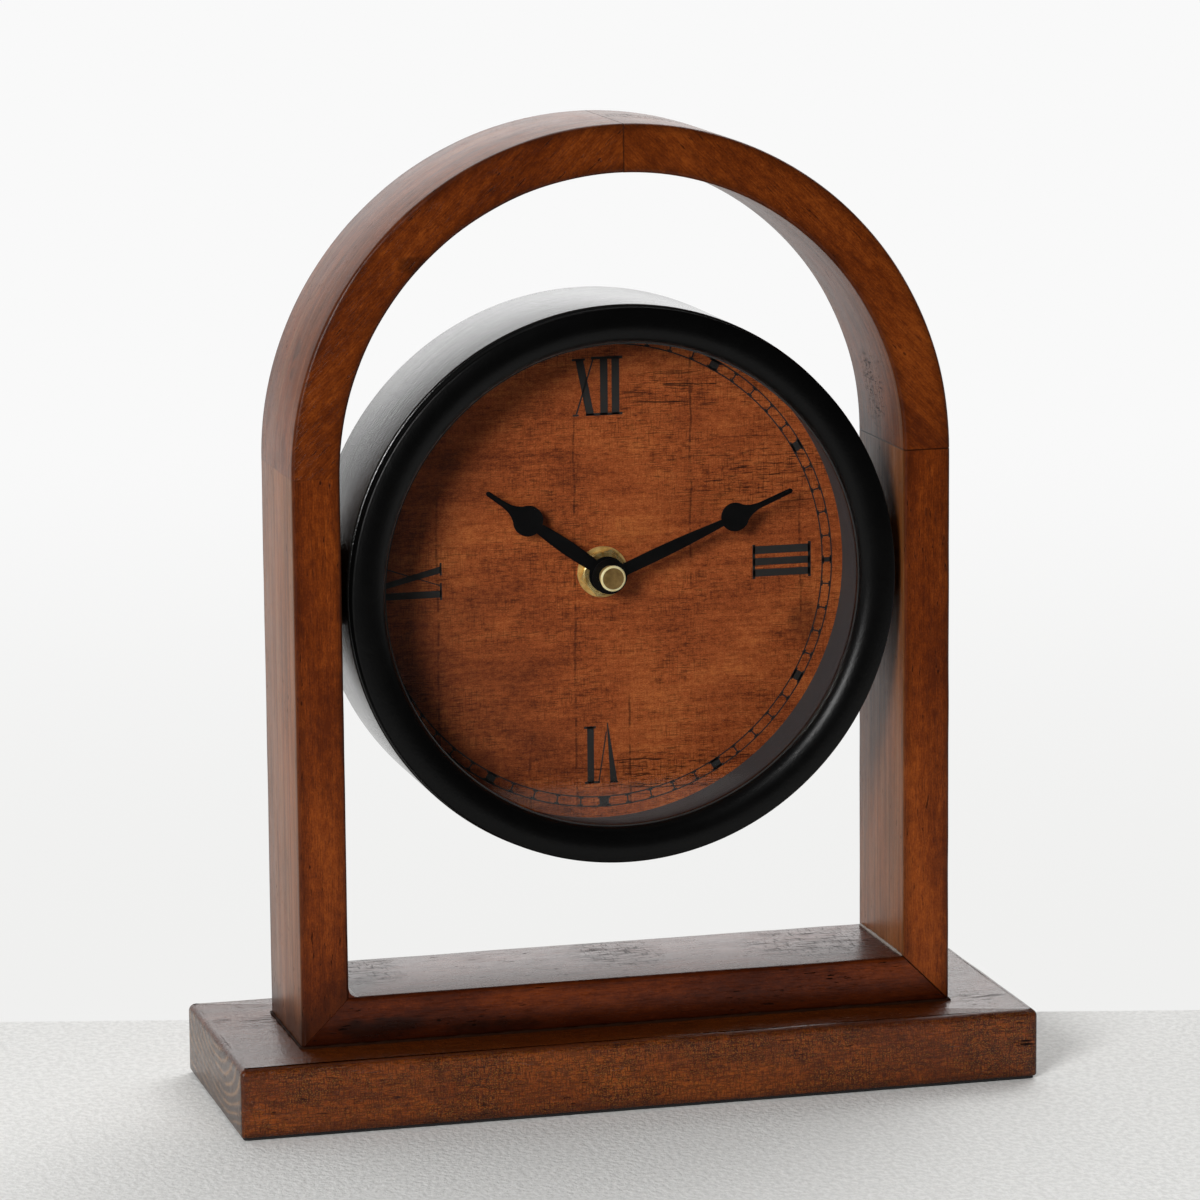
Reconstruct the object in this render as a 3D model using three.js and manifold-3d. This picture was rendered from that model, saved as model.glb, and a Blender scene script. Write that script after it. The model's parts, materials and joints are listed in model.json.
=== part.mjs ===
// Desk clock: an arched wooden frame on a board, with a black drum between its posts.
// The drum holds a printed wooden dial under glass, two hands and a quartz movement.
// Millimetres. +X is to the viewer's right, +Y is away from the viewer and +Z is up.
// The origin is under the middle of the base, on the surface that the clock stands on.

import * as THREE from 'three';
import { mergeVertices } from 'three/addons/utils/BufferGeometryUtils.js';
import Module from 'manifold-3d';

const wasm = await Module();
wasm.setup();

// Wood screws: shares of the head, and the point in shank radii
const screwPoint = 2;
const screwCrownRadius = 0.8;
const screwCrownHeight = 0.35;
const screwSlotWidth = 0.25;
const screwSlotDepth = 0.45;

// Base
const padThickness = 1.2;
const padInset = 0.8;
const baseWidth = 234.7;
const baseDepth = 78.7;
const boardThickness = 19.5;
const boardCornerRadius = 2.4;
const boardEdgeRound = 1.5;

// Wooden frame
const frameWidth = 192.2;
const frameDepth = 43.5;
const stockThickness = 13.8;
const postHeight = 162.5;
const stockEdgeRound = 1.0;
const glueLine = 0.1;
const dowelRadius = 3;
const dowelLength = 26;
const dowelSpacing = 22;
const dowelChamfer = 0.8;
const jointClearance = 0.3;

// Wood screws under the base, up into the bottom rail
const baseScrewSpacing = 120;
const baseScrewRadius = 2;
const baseScrewHeadRadius = 4;
const baseScrewHeadHeight = 2.6;
const baseScrewRecess = 4;
const baseScrewBite = 9;

// Drum
const sideGap = 2.1;
const gapUnderDrum = 33.2;
const drumFront = -17.6;
const drumBack = 25.4;
const drumWall = 8;
const drumEdgeRound = 0.8;
const dialShoulder = 2.2;
const glassShoulder = 2.7;
const glassRecess = 0.2;

// Bezel, half round in section
const bezelWidth = 11;
const bezelRise = 5.8;
const bezelStep = 0.9;
const bezelHeel = 0.6;

// Glass and dial
const glassThickness = 2;
const dialFace = 5.5;
const dialThickness = 3.2;
const seatClearance = 0.3;

// Blocks and screws between the drum and the posts
const spacerHeight = 24;
const spacerDepth = 14;
const sideScrewY = 14.5;
const sideScrewSpacing = 13;
const sideScrewRadius = 1.75;
const sideScrewHeadRadius = 3.2;
const sideScrewHeadHeight = 2.2;
const sideScrewBite = 9.5;

// Threaded bush, washers and nut that clamp the movement to the dial
const rubberThickness = 0.8;
const rubberRadius = 8;
const bushRadius = 4;
const bushBore = 2.75;
const bushReach = 1.2;
const bushFlangeRadius = 6;
const bushFlangeThickness = 0.6;
const bushChamfer = 0.3;
const threadClearance = 0.15;
const washerRadius = 7.45;
const washerThickness = 0.6;
const nutAcrossFlats = 11;
const nutThickness = 2.2;
const nutTurn = 12;
const nutFaceRadius = 5.3;
const nutChamferRadius = 6.6;
const nutChamferDepth = 0.7;

// Hands, at the time shown: minutes past ten
const minutesPast = 11.3;
const hourShown = 10;
const handThickness = 0.4;
const hourHandGap = 0.9;
const minuteHandGap = 3.0;
const hourHandSizes = {
  length: 44,
  hubRadius: 5.25,
  armAtHub: 3.5,
  armAtBulb: 1.75,
  bulbPlace: 28.7,
  bulbRadius: 4.35,
  tipAtBulb: 2.1,
  tipAtEnd: 1.25,
};
const minuteHandSizes = {
  length: 57.8,
  hubRadius: 5.15,
  armAtHub: 3.2,
  armAtBulb: 1.4,
  bulbPlace: 40.4,
  bulbRadius: 4.2,
  tipAtBulb: 1.5,
  tipAtEnd: 1.0,
};
const shoulderBearing = 38;
const shoulderPull = 1.3;
const shoulderReach = 2.1;
const handFit = 0.15;
const collarHeight = 0.6;
const collarWall = 0.8;
const capRadius = 3.72;
const capHeight = 3.7;
const capChamfer = 0.35;
const capBoreDepth = 2.8;

// Shafts on the clock's axis, one inside the other
const secondShaftRadius = 0.5;
const minuteShaftBore = 0.75;
const minuteShaftRadius = 1.6;
const minuteTipRadius = 1.3;
const hourTubeBore = 1.85;
const hourTubeRadius = 2.5;
const runningGap = 0.3;

// Movement case
const caseWidth = 56;
const caseDepth = 15.5;
const caseWall = 1.2;
const caseCornerRadius = 2;
const coverSeam = 0.1;
const bossRadius = 1.1;
const coilBossRadius = 1.3;
const coilBossDrop = 3.2;
const tabLength = 5;
const tabReach = 2.5;
const tabThickness = 1;
const tabInset = 3;
const batteryRadius = 7.1;
const batteryLength = 48.6;
const batteryNubRadius = 2.6;
const batteryNubLength = 1.6;
const batteryClearance = 0.25;
const contactThickness = 0.4;
const contactTravel = 0.8;
const contactWidth = 8;
const batteryShoulder = 0.6;

// Wheels: teeth, module and face width
const cannonTeeth = 8;
const motionWheelTeeth = 24;
const motionPinionTeeth = 6;
const hourWheelTeeth = 24;
const knobPinionTeeth = 8;
const motionModule = 0.625;
const motionFace = 0.9;
const centreTeeth = 45;
const thirdPinionTeeth = 6;
const thirdTeeth = 48;
const secondsPinionTeeth = 6;
const trainModule = 0.35;
const secondsTeeth = 36;
const fifthPinionTeeth = 6;
const fifthTeeth = 30;
const rotorPinionTeeth = 6;
const fastModule = 0.43;
const trainFace = 0.7;
const pinionOverhang = 0.3;
const layerGap = 0.6;
const pivotRadius = 0.5;
const postRadius = 0.7;
const pivotClearance = 0.2;
const pivotDepth = 0.6;
const plateThickness = 0.8;
const plateReach = 7.5;
const plateOverhang = 2.4;
const plateGap = 0.4;
const seatWall = 0.8;
const springThickness = 0.3;
const springWidth = 1.7;
const shaftSpare = 0.2;
const looseFit = 0.1;

// Directions from one wheel's axis to the next, in degrees from +X towards +Z
const motionWheelBearing = 60;
const knobBearing = 20;
const thirdBearing = 192;
const fifthBearing = 122;
const rotorBearing = 130;

// Setting knob
const knobRadius = 6;
const knobThickness = 2.4;
const knobRibs = 12;
const knobRibDepth = 0.35;
const knobRibRoot = 0.3;
const knobRibCrest = 0.2;
const knobPinionSpare = 0.2;
const knobShaftRadius = 1.5;

// Stepper motor and circuit board
const magnetRadius = 2.7;
const magnetLength = 2.8;
const magnetLead = 0.5;
const statorThickness = 0.8;
const statorLead = 0.4;
const statorBore = 3.2;
const statorBridge = 0.7;
const statorLegWidth = 4;
const coilRadius = 3.7;
const coilWindingRadius = 3.3;
const coilOffset = 11;
const coilBarrelRadius = 1.8;
const coilLength = 15;
const coilFlange = 0.8;
const coilFit = 0.15;
const coilMargin = 1;
const coreWidth = 1.8;
const coreThickness = 0.8;
const boardLength = 20;
const boardWidth = 8;
const boardMargin = 0.5;
const circuitThickness = 1;
const chipRadius = 2;
const chipTopRadius = 1.4;
const chipHeight = 0.95;
const chipPlace = 14;
const solderGap = 0.05;
const crystalRadius = 1;
const crystalLength = 6;
const crystalPlace = 8;

// Facets
const drumSides = 48;
const crestSteps = 6;
const archSides = 64;
const edgeSteps = 1;
const washerSides = 24;
const shaftSides = 14;
const smallSides = 8;
const postSides = 8;
const cornerSteps = 3;

// Sizes that follow from the ones above
const boardTop = padThickness + boardThickness;
const railBottom = boardTop + glueLine;
const railTop = railBottom + stockThickness;
const springHeight = railBottom + postHeight;
const archRadius = frameWidth / 2;
const innerRadius = archRadius - stockThickness;
const drumRadius = innerRadius - sideGap;
const axisHeight = railTop + gapUnderDrum + drumRadius;
const wallInner = drumRadius - drumWall;
const dialSeatRadius = wallInner + dialShoulder;
const glassSeatRadius = wallInner + glassShoulder;
const dialBack = dialFace + dialThickness;
const caseFront = dialBack + rubberThickness;
const caseInside = caseFront + caseWall;
const caseBack = caseFront + caseDepth;
const coverFront = caseBack - caseWall;
const nutFront = dialFace - washerThickness - nutThickness;
const bushFront = nutFront - bushReach;
const hourHandFront = bushFront - hourHandGap - handThickness;
const minuteHandBack = hourHandFront - minuteHandGap;
const minuteHandFront = minuteHandBack - handThickness;
const minuteAngle = 90 - minutesPast * 6;
const hourAngle = 90 - (hourShown * 30 + minutesPast / 2);

// The layers of wheels, from the front of the case to the back
const hourWheelFront = caseInside + 0.5 * layerGap;
const motionWheelFront = hourWheelFront + motionFace + layerGap;
const plateFront = motionWheelFront + motionFace + layerGap;
const centreFront = plateFront + plateThickness + layerGap;
const springFront = centreFront + trainFace + looseFit;
const minuteShaftEnd = springFront + springThickness + shaftSpare;
const thirdFront = minuteShaftEnd + layerGap + pinionOverhang;
const secondsFront = thirdFront + trainFace + 2 * pinionOverhang + runningGap;
const fifthFront = secondsFront + trainFace + 2 * pinionOverhang + runningGap;

// Where the wheels stand, from the clock's axis
const motionDistance = (motionModule * (cannonTeeth + motionWheelTeeth)) / 2;
const hourModule = (2 * motionDistance) / (motionPinionTeeth + hourWheelTeeth);
const knobDistance = (motionModule * (motionWheelTeeth + knobPinionTeeth)) / 2;
const thirdDistance = (trainModule * (centreTeeth + thirdPinionTeeth)) / 2;
const thirdModule = (2 * thirdDistance) / (thirdTeeth + secondsPinionTeeth);
const fifthDistance = (fastModule * (secondsTeeth + fifthPinionTeeth)) / 2;
const rotorDistance = (fastModule * (fifthTeeth + rotorPinionTeeth)) / 2;
const axis = { x: 0, z: 0 };
const motionPlace = stepFrom(axis, motionDistance, motionWheelBearing);
const knobPlace = stepFrom(motionPlace, knobDistance, knobBearing);
const thirdPlace = stepFrom(axis, thirdDistance, thirdBearing);
const fifthPlace = stepFrom(axis, fifthDistance, fifthBearing);
const rotorPlace = stepFrom(fifthPlace, rotorDistance, rotorBearing);

// Materials
const stainedWood = paint(0x6b3413, 0.45);
const endWood = paint(0xb98a55, 0.8);
const blackWood = paint(0x121314, 0.4);
const blackFoam = paint(0x0b0b0c, 0.95);
const dialWood = paint(0x8a4318, 0.55);
const clearGlass = paint(0xf2f6f6, 0.03, 0, 0.2);
const blackMetal = paint(0x07080a, 0.45, 0.3);
const brass = paint(0xb59a55, 0.28, 1);
const steel = paint(0xa9abad, 0.35, 1);
const copper = paint(0xa2562c, 0.4, 1);
const blackPlastic = paint(0x17181a, 0.5);
const whitePlastic = paint(0xdedcd4, 0.5);
const rubber = paint(0x1b1b1c, 0.9);
const circuitGreen = paint(0x2c5a3a, 0.6);
const batteryJacket = paint(0x3a4348, 0.4);

function paint(color, roughness, metalness = 0, opacity = 1) {
  return new THREE.MeshStandardMaterial({
    color,
    roughness,
    metalness,
    opacity,
    transparent: opacity < 1,
  });
}

function radians(degrees) {
  return (degrees * Math.PI) / 180;
}

function stepFrom(place, distance, bearing) {
  return {
    x: place.x + distance * Math.cos(radians(bearing)),
    z: place.z + distance * Math.sin(radians(bearing)),
  };
}

// A closed solid from a three.js geometry, with its faces pointing out
function solid(geometry) {
  const bare = new THREE.BufferGeometry();
  bare.setAttribute('position', geometry.getAttribute('position'));
  if (geometry.index) {
    bare.setIndex(geometry.index);
  }
  const merged = mergeVertices(bare, 1e-4);
  const corners = merged.index.array;
  const points = merged.getAttribute('position');
  const [a, b, c] = [new THREE.Vector3(), new THREE.Vector3(), new THREE.Vector3()];
  const triangles = [];
  let volume = 0;
  for (let i = 0; i < corners.length; i += 3) {
    const [ia, ib, ic] = corners.subarray(i, i + 3);
    if (ia !== ib && ib !== ic && ic !== ia) {
      triangles.push(ia, ib, ic);
      a.fromBufferAttribute(points, ia);
      b.fromBufferAttribute(points, ib);
      c.fromBufferAttribute(points, ic);
      volume += a.dot(b.cross(c));
    }
  }
  if (volume < 0) {
    triangles.reverse();
  }
  const mesh = new wasm.Mesh({
    numProp: 3,
    vertProperties: new Float32Array(points.array),
    triVerts: new Uint32Array(triangles),
  });
  return new wasm.Manifold(mesh);
}

// A named piece from a solid, at a place in its group
function piece(name, body, material, x = 0, y = 0, z = 0) {
  const { vertProperties, triVerts } = body.getMesh();
  const geometry = new THREE.BufferGeometry();
  geometry.setAttribute('position', new THREE.BufferAttribute(vertProperties, 3));
  geometry.setIndex(new THREE.BufferAttribute(triVerts, 1));
  geometry.computeVertexNormals();
  const mesh = new THREE.Mesh(geometry, material);
  mesh.name = name;
  mesh.position.set(x, y, z);
  return mesh;
}

// An outline in X and Z, extruded along Y from front to back
function prism(shape, front, back, curveSegments = 6) {
  const depth = back - front;
  const geometry = new THREE.ExtrudeGeometry(shape, { depth, bevelEnabled: false, curveSegments });
  geometry.rotateX(Math.PI / 2);
  geometry.translate(0, back, 0);
  return solid(geometry);
}

// A profile of [radius, height] pairs, turned about Y, or about X or Z
function turned(profile, sides, about = 'y') {
  const points = profile.map(([radius, height]) => new THREE.Vector2(radius, height));
  const geometry = new THREE.LatheGeometry(points, sides);
  if (about === 'z') {
    geometry.rotateX(Math.PI / 2);
  }
  if (about === 'x') {
    geometry.rotateZ(-Math.PI / 2);
  }
  return solid(geometry);
}

// A ring between two radii, along Y from front to back
function ring(inner, outer, front, back, sides) {
  return turned([[inner, front], [outer, front], [outer, back], [inner, back], [inner, front]], sides);
}

function rod(radius, front, back, sides, about = 'y') {
  return turned([[0, front], [radius, front], [radius, back], [0, back]], sides, about);
}

function block(x0, x1, y0, y1, z0, z1) {
  const geometry = new THREE.BoxGeometry(x1 - x0, y1 - y0, z1 - z0);
  geometry.translate((x0 + x1) / 2, (y0 + y1) / 2, (z0 + z1) / 2);
  return solid(geometry);
}

function roundedRectangle(x0, x1, y0, y1, radius) {
  const shape = new THREE.Shape();
  shape.absarc(x1 - radius, y0 + radius, radius, -Math.PI / 2, 0);
  shape.absarc(x1 - radius, y1 - radius, radius, 0, Math.PI / 2);
  shape.absarc(x0 + radius, y1 - radius, radius, Math.PI / 2, Math.PI);
  shape.absarc(x0 + radius, y0 + radius, radius, Math.PI, 1.5 * Math.PI);
  shape.closePath();
  return shape;
}

function polygon(corners) {
  return new THREE.Shape(corners.map(([x, y]) => new THREE.Vector2(x, y)));
}

// A screw along +Z: its head starts at 0 and its point is at the end
function woodScrew(radius, headRadius, headHeight, length) {
  const point = screwPoint * radius;
  const slotWidth = screwSlotWidth * headRadius;
  const slotDepth = screwSlotDepth * headHeight;
  const slot = block(-headRadius, headRadius, -slotWidth / 2, slotWidth / 2, -1, slotDepth);
  const profile = [
    [0, 0],
    [screwCrownRadius * headRadius, 0],
    [headRadius, screwCrownHeight * headHeight],
    [headRadius, headHeight],
    [radius, headHeight],
    [radius, length - point],
    [0, length],
  ];
  return turned(profile, smallSides, 'z').subtract(slot);
}

// Base
function makeBase() {
  const group = new THREE.Group();
  const halfWidth = baseWidth / 2;
  const halfDepth = baseDepth / 2;
  const screwPlaces = { left: -baseScrewSpacing / 2, right: baseScrewSpacing / 2 };

  const outline = roundedRectangle(-halfWidth, halfWidth, -halfDepth, halfDepth, boardCornerRadius);
  const boardGeometry = new THREE.ExtrudeGeometry(outline, {
    depth: boardThickness - 2 * boardEdgeRound,
    bevelThickness: boardEdgeRound,
    bevelSize: boardEdgeRound,
    bevelOffset: -boardEdgeRound,
    bevelSegments: 2,
    curveSegments: 2,
  });
  boardGeometry.translate(0, 0, padThickness + boardEdgeRound);
  let board = solid(boardGeometry);
  const headHole = baseScrewHeadRadius + jointClearance;
  const shankHole = baseScrewRadius + jointClearance;
  const screwHole = turned(
    [
      [0, -1],
      [headHole, -1],
      [headHole, baseScrewRecess],
      [shankHole, baseScrewRecess],
      [shankHole, boardThickness + 1],
      [0, boardThickness + 1],
    ],
    smallSides,
    'z',
  );
  for (const x of Object.values(screwPlaces)) {
    board = board.subtract(screwHole.translate(x, 0, padThickness));
  }
  group.add(piece('base_board', board, stainedWood));

  const padOutline = roundedRectangle(
    padInset - halfWidth,
    halfWidth - padInset,
    padInset - halfDepth,
    halfDepth - padInset,
    boardCornerRadius,
  );
  const padGeometry = new THREE.ExtrudeGeometry(padOutline, {
    depth: padThickness,
    bevelEnabled: false,
    curveSegments: 2,
  });
  group.add(piece('base_pad', solid(padGeometry), blackFoam));

  const screwStart = padThickness + baseScrewRecess - baseScrewHeadHeight;
  const screwLength = railBottom + baseScrewBite - screwStart;
  for (const [side, x] of Object.entries(screwPlaces)) {
    const screw = woodScrew(baseScrewRadius, baseScrewHeadRadius, baseScrewHeadHeight, screwLength);
    group.add(piece(`base_screw_${side}`, screw, steel, x, 0, screwStart));
  }
  return group;
}

// The wooden stock's section between two places across it, as [across, depth] pairs
function stockProfile(inner, outer) {
  const depth = frameDepth / 2 - stockEdgeRound;
  const corners = [
    [outer - stockEdgeRound, -depth],
    [outer - stockEdgeRound, depth],
    [inner + stockEdgeRound, depth],
    [inner + stockEdgeRound, -depth],
  ];
  const points = [];
  corners.forEach(([across, y], corner) => {
    for (let i = 0; i <= edgeSteps; i++) {
      const turn = (Math.PI / 2) * (corner - 1 + i / edgeSteps);
      points.push([across + stockEdgeRound * Math.cos(turn), y + stockEdgeRound * Math.sin(turn)]);
    }
  });
  return points;
}

function stockBar(inner, outer, length) {
  const section = polygon(stockProfile(inner, outer));
  return new THREE.ExtrudeGeometry(section, { depth: length, bevelEnabled: false });
}

function makeFrame() {
  const group = new THREE.Group();
  const past = 5;
  const pocket = jointClearance;
  const halfDowel = dowelLength / 2;
  const dowelPlaces = { front: -dowelSpacing / 2, back: dowelSpacing / 2 };
  const dowelHole = rod(dowelRadius + pocket, -halfDowel - pocket, halfDowel + pocket, smallSides, 'z');
  const apexHole = rod(dowelRadius + pocket, -halfDowel - pocket, halfDowel + pocket, smallSides, 'x');
  const apexHeight = springHeight + (archRadius + innerRadius) / 2;
  const postMiddle = (archRadius + innerRadius) / 2;

  // Bottom rail, mitred into both posts
  const railGeometry = stockBar(railBottom, railTop, 2 * (archRadius + past));
  railGeometry.translate(0, 0, -archRadius - past);
  railGeometry.rotateY(-Math.PI / 2);
  const inset = glueLine / Math.SQRT2;
  const mitre = polygon([
    [-archRadius + inset - past, railBottom - past],
    [archRadius - inset + past, railBottom - past],
    [innerRadius - inset - past, railTop + past],
    [-innerRadius + inset + past, railTop + past],
  ]);
  let rail = solid(railGeometry);
  rail = rail.intersect(prism(mitre, -frameDepth, frameDepth));
  const pilot = rod(baseScrewRadius + pocket, -1, baseScrewBite + pocket, smallSides, 'z');
  for (const x of [-baseScrewSpacing / 2, baseScrewSpacing / 2]) {
    rail = rail.subtract(pilot.translate(x, 0, railBottom));
  }
  group.add(piece('bottom_rail', rail, stainedWood));

  // Posts, with holes for the dowels above and the drum's screws inside
  const postGeometry = stockBar(innerRadius, archRadius, postHeight);
  postGeometry.translate(0, 0, railBottom);
  const foot = polygon([
    [innerRadius - past, railTop + past + inset],
    [archRadius + past, railBottom - past + inset],
    [archRadius + past, springHeight + past],
    [innerRadius - past, springHeight + past],
  ]);
  let rightPost = solid(postGeometry).intersect(prism(foot, -frameDepth, frameDepth));
  for (const y of Object.values(dowelPlaces)) {
    rightPost = rightPost.subtract(dowelHole.translate(postMiddle, y, springHeight));
  }
  const biteHole = rod(sideScrewRadius + pocket, -1, sideScrewBite + pocket, smallSides, 'x');
  for (const rise of [-sideScrewSpacing / 2, sideScrewSpacing / 2]) {
    rightPost = rightPost.subtract(biteHole.translate(innerRadius, sideScrewY, axisHeight + rise));
  }
  group.add(piece('left_post', rightPost.mirror([1, 0, 0]), stainedWood));
  group.add(piece('right_post', rightPost, stainedWood));

  // Arch, in two quarters that meet at the top
  const section = stockProfile(innerRadius, archRadius);
  const whole = turned([...section, section[0]], archSides);
  const quarter = block(0, archRadius + past, -frameDepth, frameDepth, 0, archRadius + past);
  let archRight = whole.intersect(quarter).translate(0, 0, springHeight);
  for (const y of Object.values(dowelPlaces)) {
    archRight = archRight.subtract(dowelHole.translate(postMiddle, y, springHeight));
    archRight = archRight.subtract(apexHole.translate(0, y, apexHeight));
  }
  group.add(piece('arch_left', archRight.mirror([1, 0, 0]), stainedWood));
  group.add(piece('arch_right', archRight, stainedWood));

  // Dowels in the three joints of the arch
  const dowel = turned(
    [
      [0, -halfDowel],
      [dowelRadius - dowelChamfer, -halfDowel],
      [dowelRadius, dowelChamfer - halfDowel],
      [dowelRadius, halfDowel - dowelChamfer],
      [dowelRadius - dowelChamfer, halfDowel],
      [0, halfDowel],
    ],
    smallSides,
    'z',
  );
  for (const [end, y] of Object.entries(dowelPlaces)) {
    group.add(piece(`left_dowel_${end}`, dowel, endWood, -postMiddle, y, springHeight));
    group.add(piece(`right_dowel_${end}`, dowel, endWood, postMiddle, y, springHeight));
    const top = piece(`apex_dowel_${end}`, dowel, endWood, 0, y, apexHeight);
    top.rotation.y = Math.PI / 2;
    group.add(top);
  }
  return group;
}

// Drum, glass and dial, with the blocks and screws that hold the drum.
// From here on, positions are measured from the clock's axis.
function makeDrum() {
  const group = new THREE.Group();
  const round = drumEdgeRound;
  const glassSeat = drumFront + glassThickness + glassRecess;
  let shell = turned(
    [
      [glassSeatRadius, drumFront],
      [drumRadius - round, drumFront],
      [drumRadius, drumFront + round],
      [drumRadius, drumBack - round],
      [drumRadius - round, drumBack],
      [dialSeatRadius, drumBack],
      [dialSeatRadius, dialFace],
      [wallInner, dialFace],
      [wallInner, glassSeat],
      [glassSeatRadius, glassSeat],
      [glassSeatRadius, drumFront],
    ],
    drumSides,
  );
  const rises = { lower: -sideScrewSpacing / 2, upper: sideScrewSpacing / 2 };
  const shankHole = rod(sideScrewRadius + jointClearance, wallInner - drumWall, archRadius, smallSides, 'x');
  for (const rise of Object.values(rises)) {
    const through = shankHole.translate(0, sideScrewY, rise);
    shell = shell.subtract(through).subtract(through.mirror([1, 0, 0]));
  }
  group.add(piece('drum_shell', shell, blackWood));

  const bezelMiddle = drumRadius - bezelWidth / 2;
  const bezelProfile = [[drumRadius - bezelWidth, drumFront]];
  for (let i = 0; i <= crestSteps; i++) {
    const turn = Math.PI * (1 - i / crestSteps);
    bezelProfile.push([
      bezelMiddle + (bezelWidth / 2) * Math.cos(turn),
      drumFront - bezelStep - bezelRise * Math.sin(turn),
    ]);
  }
  bezelProfile.push([drumRadius - bezelHeel, drumFront], [drumRadius - bezelWidth, drumFront]);
  group.add(piece('bezel_ring', turned(bezelProfile, drumSides), blackWood));

  const glass = rod(glassSeatRadius - seatClearance, glassSeat - glassThickness, glassSeat, drumSides);
  group.add(piece('glass_lens', glass, clearGlass));

  const dialHole = bushRadius + 2 * threadClearance;
  const dial = ring(dialHole, dialSeatRadius - seatClearance, dialFace, dialBack, drumSides);
  group.add(piece('dial_board', dial, dialWood));

  // A block on each side, hollowed to the drum
  const hollow = rod(drumRadius + seatClearance, -frameDepth, frameDepth, drumSides);
  let spacer = block(
    drumRadius - spacerHeight / 4,
    innerRadius,
    sideScrewY - spacerDepth / 2,
    sideScrewY + spacerDepth / 2,
    -spacerHeight / 2,
    spacerHeight / 2,
  ).subtract(hollow);
  for (const rise of Object.values(rises)) {
    spacer = spacer.subtract(shankHole.translate(0, sideScrewY, rise));
  }
  group.add(piece('spacer_left', spacer.mirror([1, 0, 0]), blackWood));
  group.add(piece('spacer_right', spacer, blackWood));

  // Screws from inside the drum, through the blocks and into the posts
  const headReach = sideScrewSpacing / 2 + sideScrewHeadRadius;
  const wallSag = Math.sqrt(dialSeatRadius ** 2 - headReach ** 2) * Math.cos(Math.PI / drumSides);
  const headSeat = wallSag - seatClearance / 2;
  const screwLength = innerRadius + sideScrewBite - headSeat + sideScrewHeadHeight;
  const screw = woodScrew(sideScrewRadius, sideScrewHeadRadius, sideScrewHeadHeight, screwLength);
  for (const [level, rise] of Object.entries(rises)) {
    const start = headSeat - sideScrewHeadHeight;
    const left = piece(`drum_screw_left_${level}`, screw, steel, -start, sideScrewY, rise);
    left.rotation.y = -Math.PI / 2;
    const right = piece(`drum_screw_right_${level}`, screw, steel, start, sideScrewY, rise);
    right.rotation.y = Math.PI / 2;
    group.add(left, right);
  }
  return group;
}

// Bush, washers and nut
function makeClamp() {
  const group = new THREE.Group();
  const bush = turned(
    [
      [bushBore, bushFront],
      [bushRadius - bushChamfer, bushFront],
      [bushRadius, bushFront + bushChamfer],
      [bushRadius, caseInside - bushFlangeThickness],
      [bushFlangeRadius, caseInside - bushFlangeThickness],
      [bushFlangeRadius, caseInside],
      [bushBore, caseInside],
      [bushBore, bushFront],
    ],
    shaftSides,
  );
  group.add(piece('threaded_bush', bush, brass));

  const clampBore = bushRadius + threadClearance;
  const washer = ring(clampBore, washerRadius, dialFace - washerThickness, dialFace, washerSides);
  group.add(piece('brass_washer', washer, brass));

  const corners = [];
  for (let i = 0; i < 6; i++) {
    const corner = stepFrom(axis, nutAcrossFlats / Math.sqrt(3), 60 * i + nutTurn);
    corners.push([corner.x, corner.z]);
  }
  const nutBack = dialFace - washerThickness;
  const crown = turned(
    [
      [0, nutFront],
      [nutFaceRadius, nutFront],
      [nutChamferRadius, nutFront + nutChamferDepth],
      [nutChamferRadius, nutBack + 1],
      [0, nutBack + 1],
    ],
    shaftSides,
  );
  const bore = rod(clampBore, nutFront - 1, nutBack + 1, shaftSides);
  const nut = prism(polygon(corners), nutFront, nutBack).intersect(crown).subtract(bore);
  group.add(piece('hex_nut', nut, brass));

  const gasket = ring(clampBore, rubberRadius, dialBack, caseFront, shaftSides);
  group.add(piece('rubber_washer', gasket, rubber));
  return group;
}

// A hand lying along +X: hub, tapered arm, round bulb, hollow shoulders and a slender tip
function handOutline(sizes, bore) {
  const { length, hubRadius, bulbPlace, bulbRadius } = sizes;
  const shape = new THREE.Shape();
  const rootAngle = Math.asin(sizes.armAtHub / 2 / hubRadius);
  const neckAngle = Math.PI - Math.asin(sizes.armAtBulb / 2 / bulbRadius);
  const shoulderAngle = radians(shoulderBearing);
  const shoulderX = bulbPlace + bulbRadius * Math.cos(shoulderAngle);
  const shoulderZ = bulbRadius * Math.sin(shoulderAngle);
  const pullX = bulbPlace + shoulderPull * bulbRadius;
  const tipStart = bulbPlace + shoulderReach * bulbRadius;
  const halfStart = sizes.tipAtBulb / 2;
  const halfEnd = sizes.tipAtEnd / 2;
  shape.absarc(0, 0, hubRadius, rootAngle, 2 * Math.PI - rootAngle, false);
  shape.absarc(bulbPlace, 0, bulbRadius, -neckAngle, -shoulderAngle, false);
  shape.quadraticCurveTo(pullX, -halfStart, tipStart, -halfStart);
  shape.absarc(length - halfEnd, 0, halfEnd, -Math.PI / 2, Math.PI / 2, false);
  shape.lineTo(tipStart, halfStart);
  shape.quadraticCurveTo(pullX, halfStart, shoulderX, shoulderZ);
  shape.absarc(bulbPlace, 0, bulbRadius, shoulderAngle, neckAngle, false);
  shape.closePath();
  const hole = new THREE.Path();
  hole.absarc(0, 0, bore, 0, 2 * Math.PI, true);
  shape.holes.push(hole);
  return shape;
}

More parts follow.
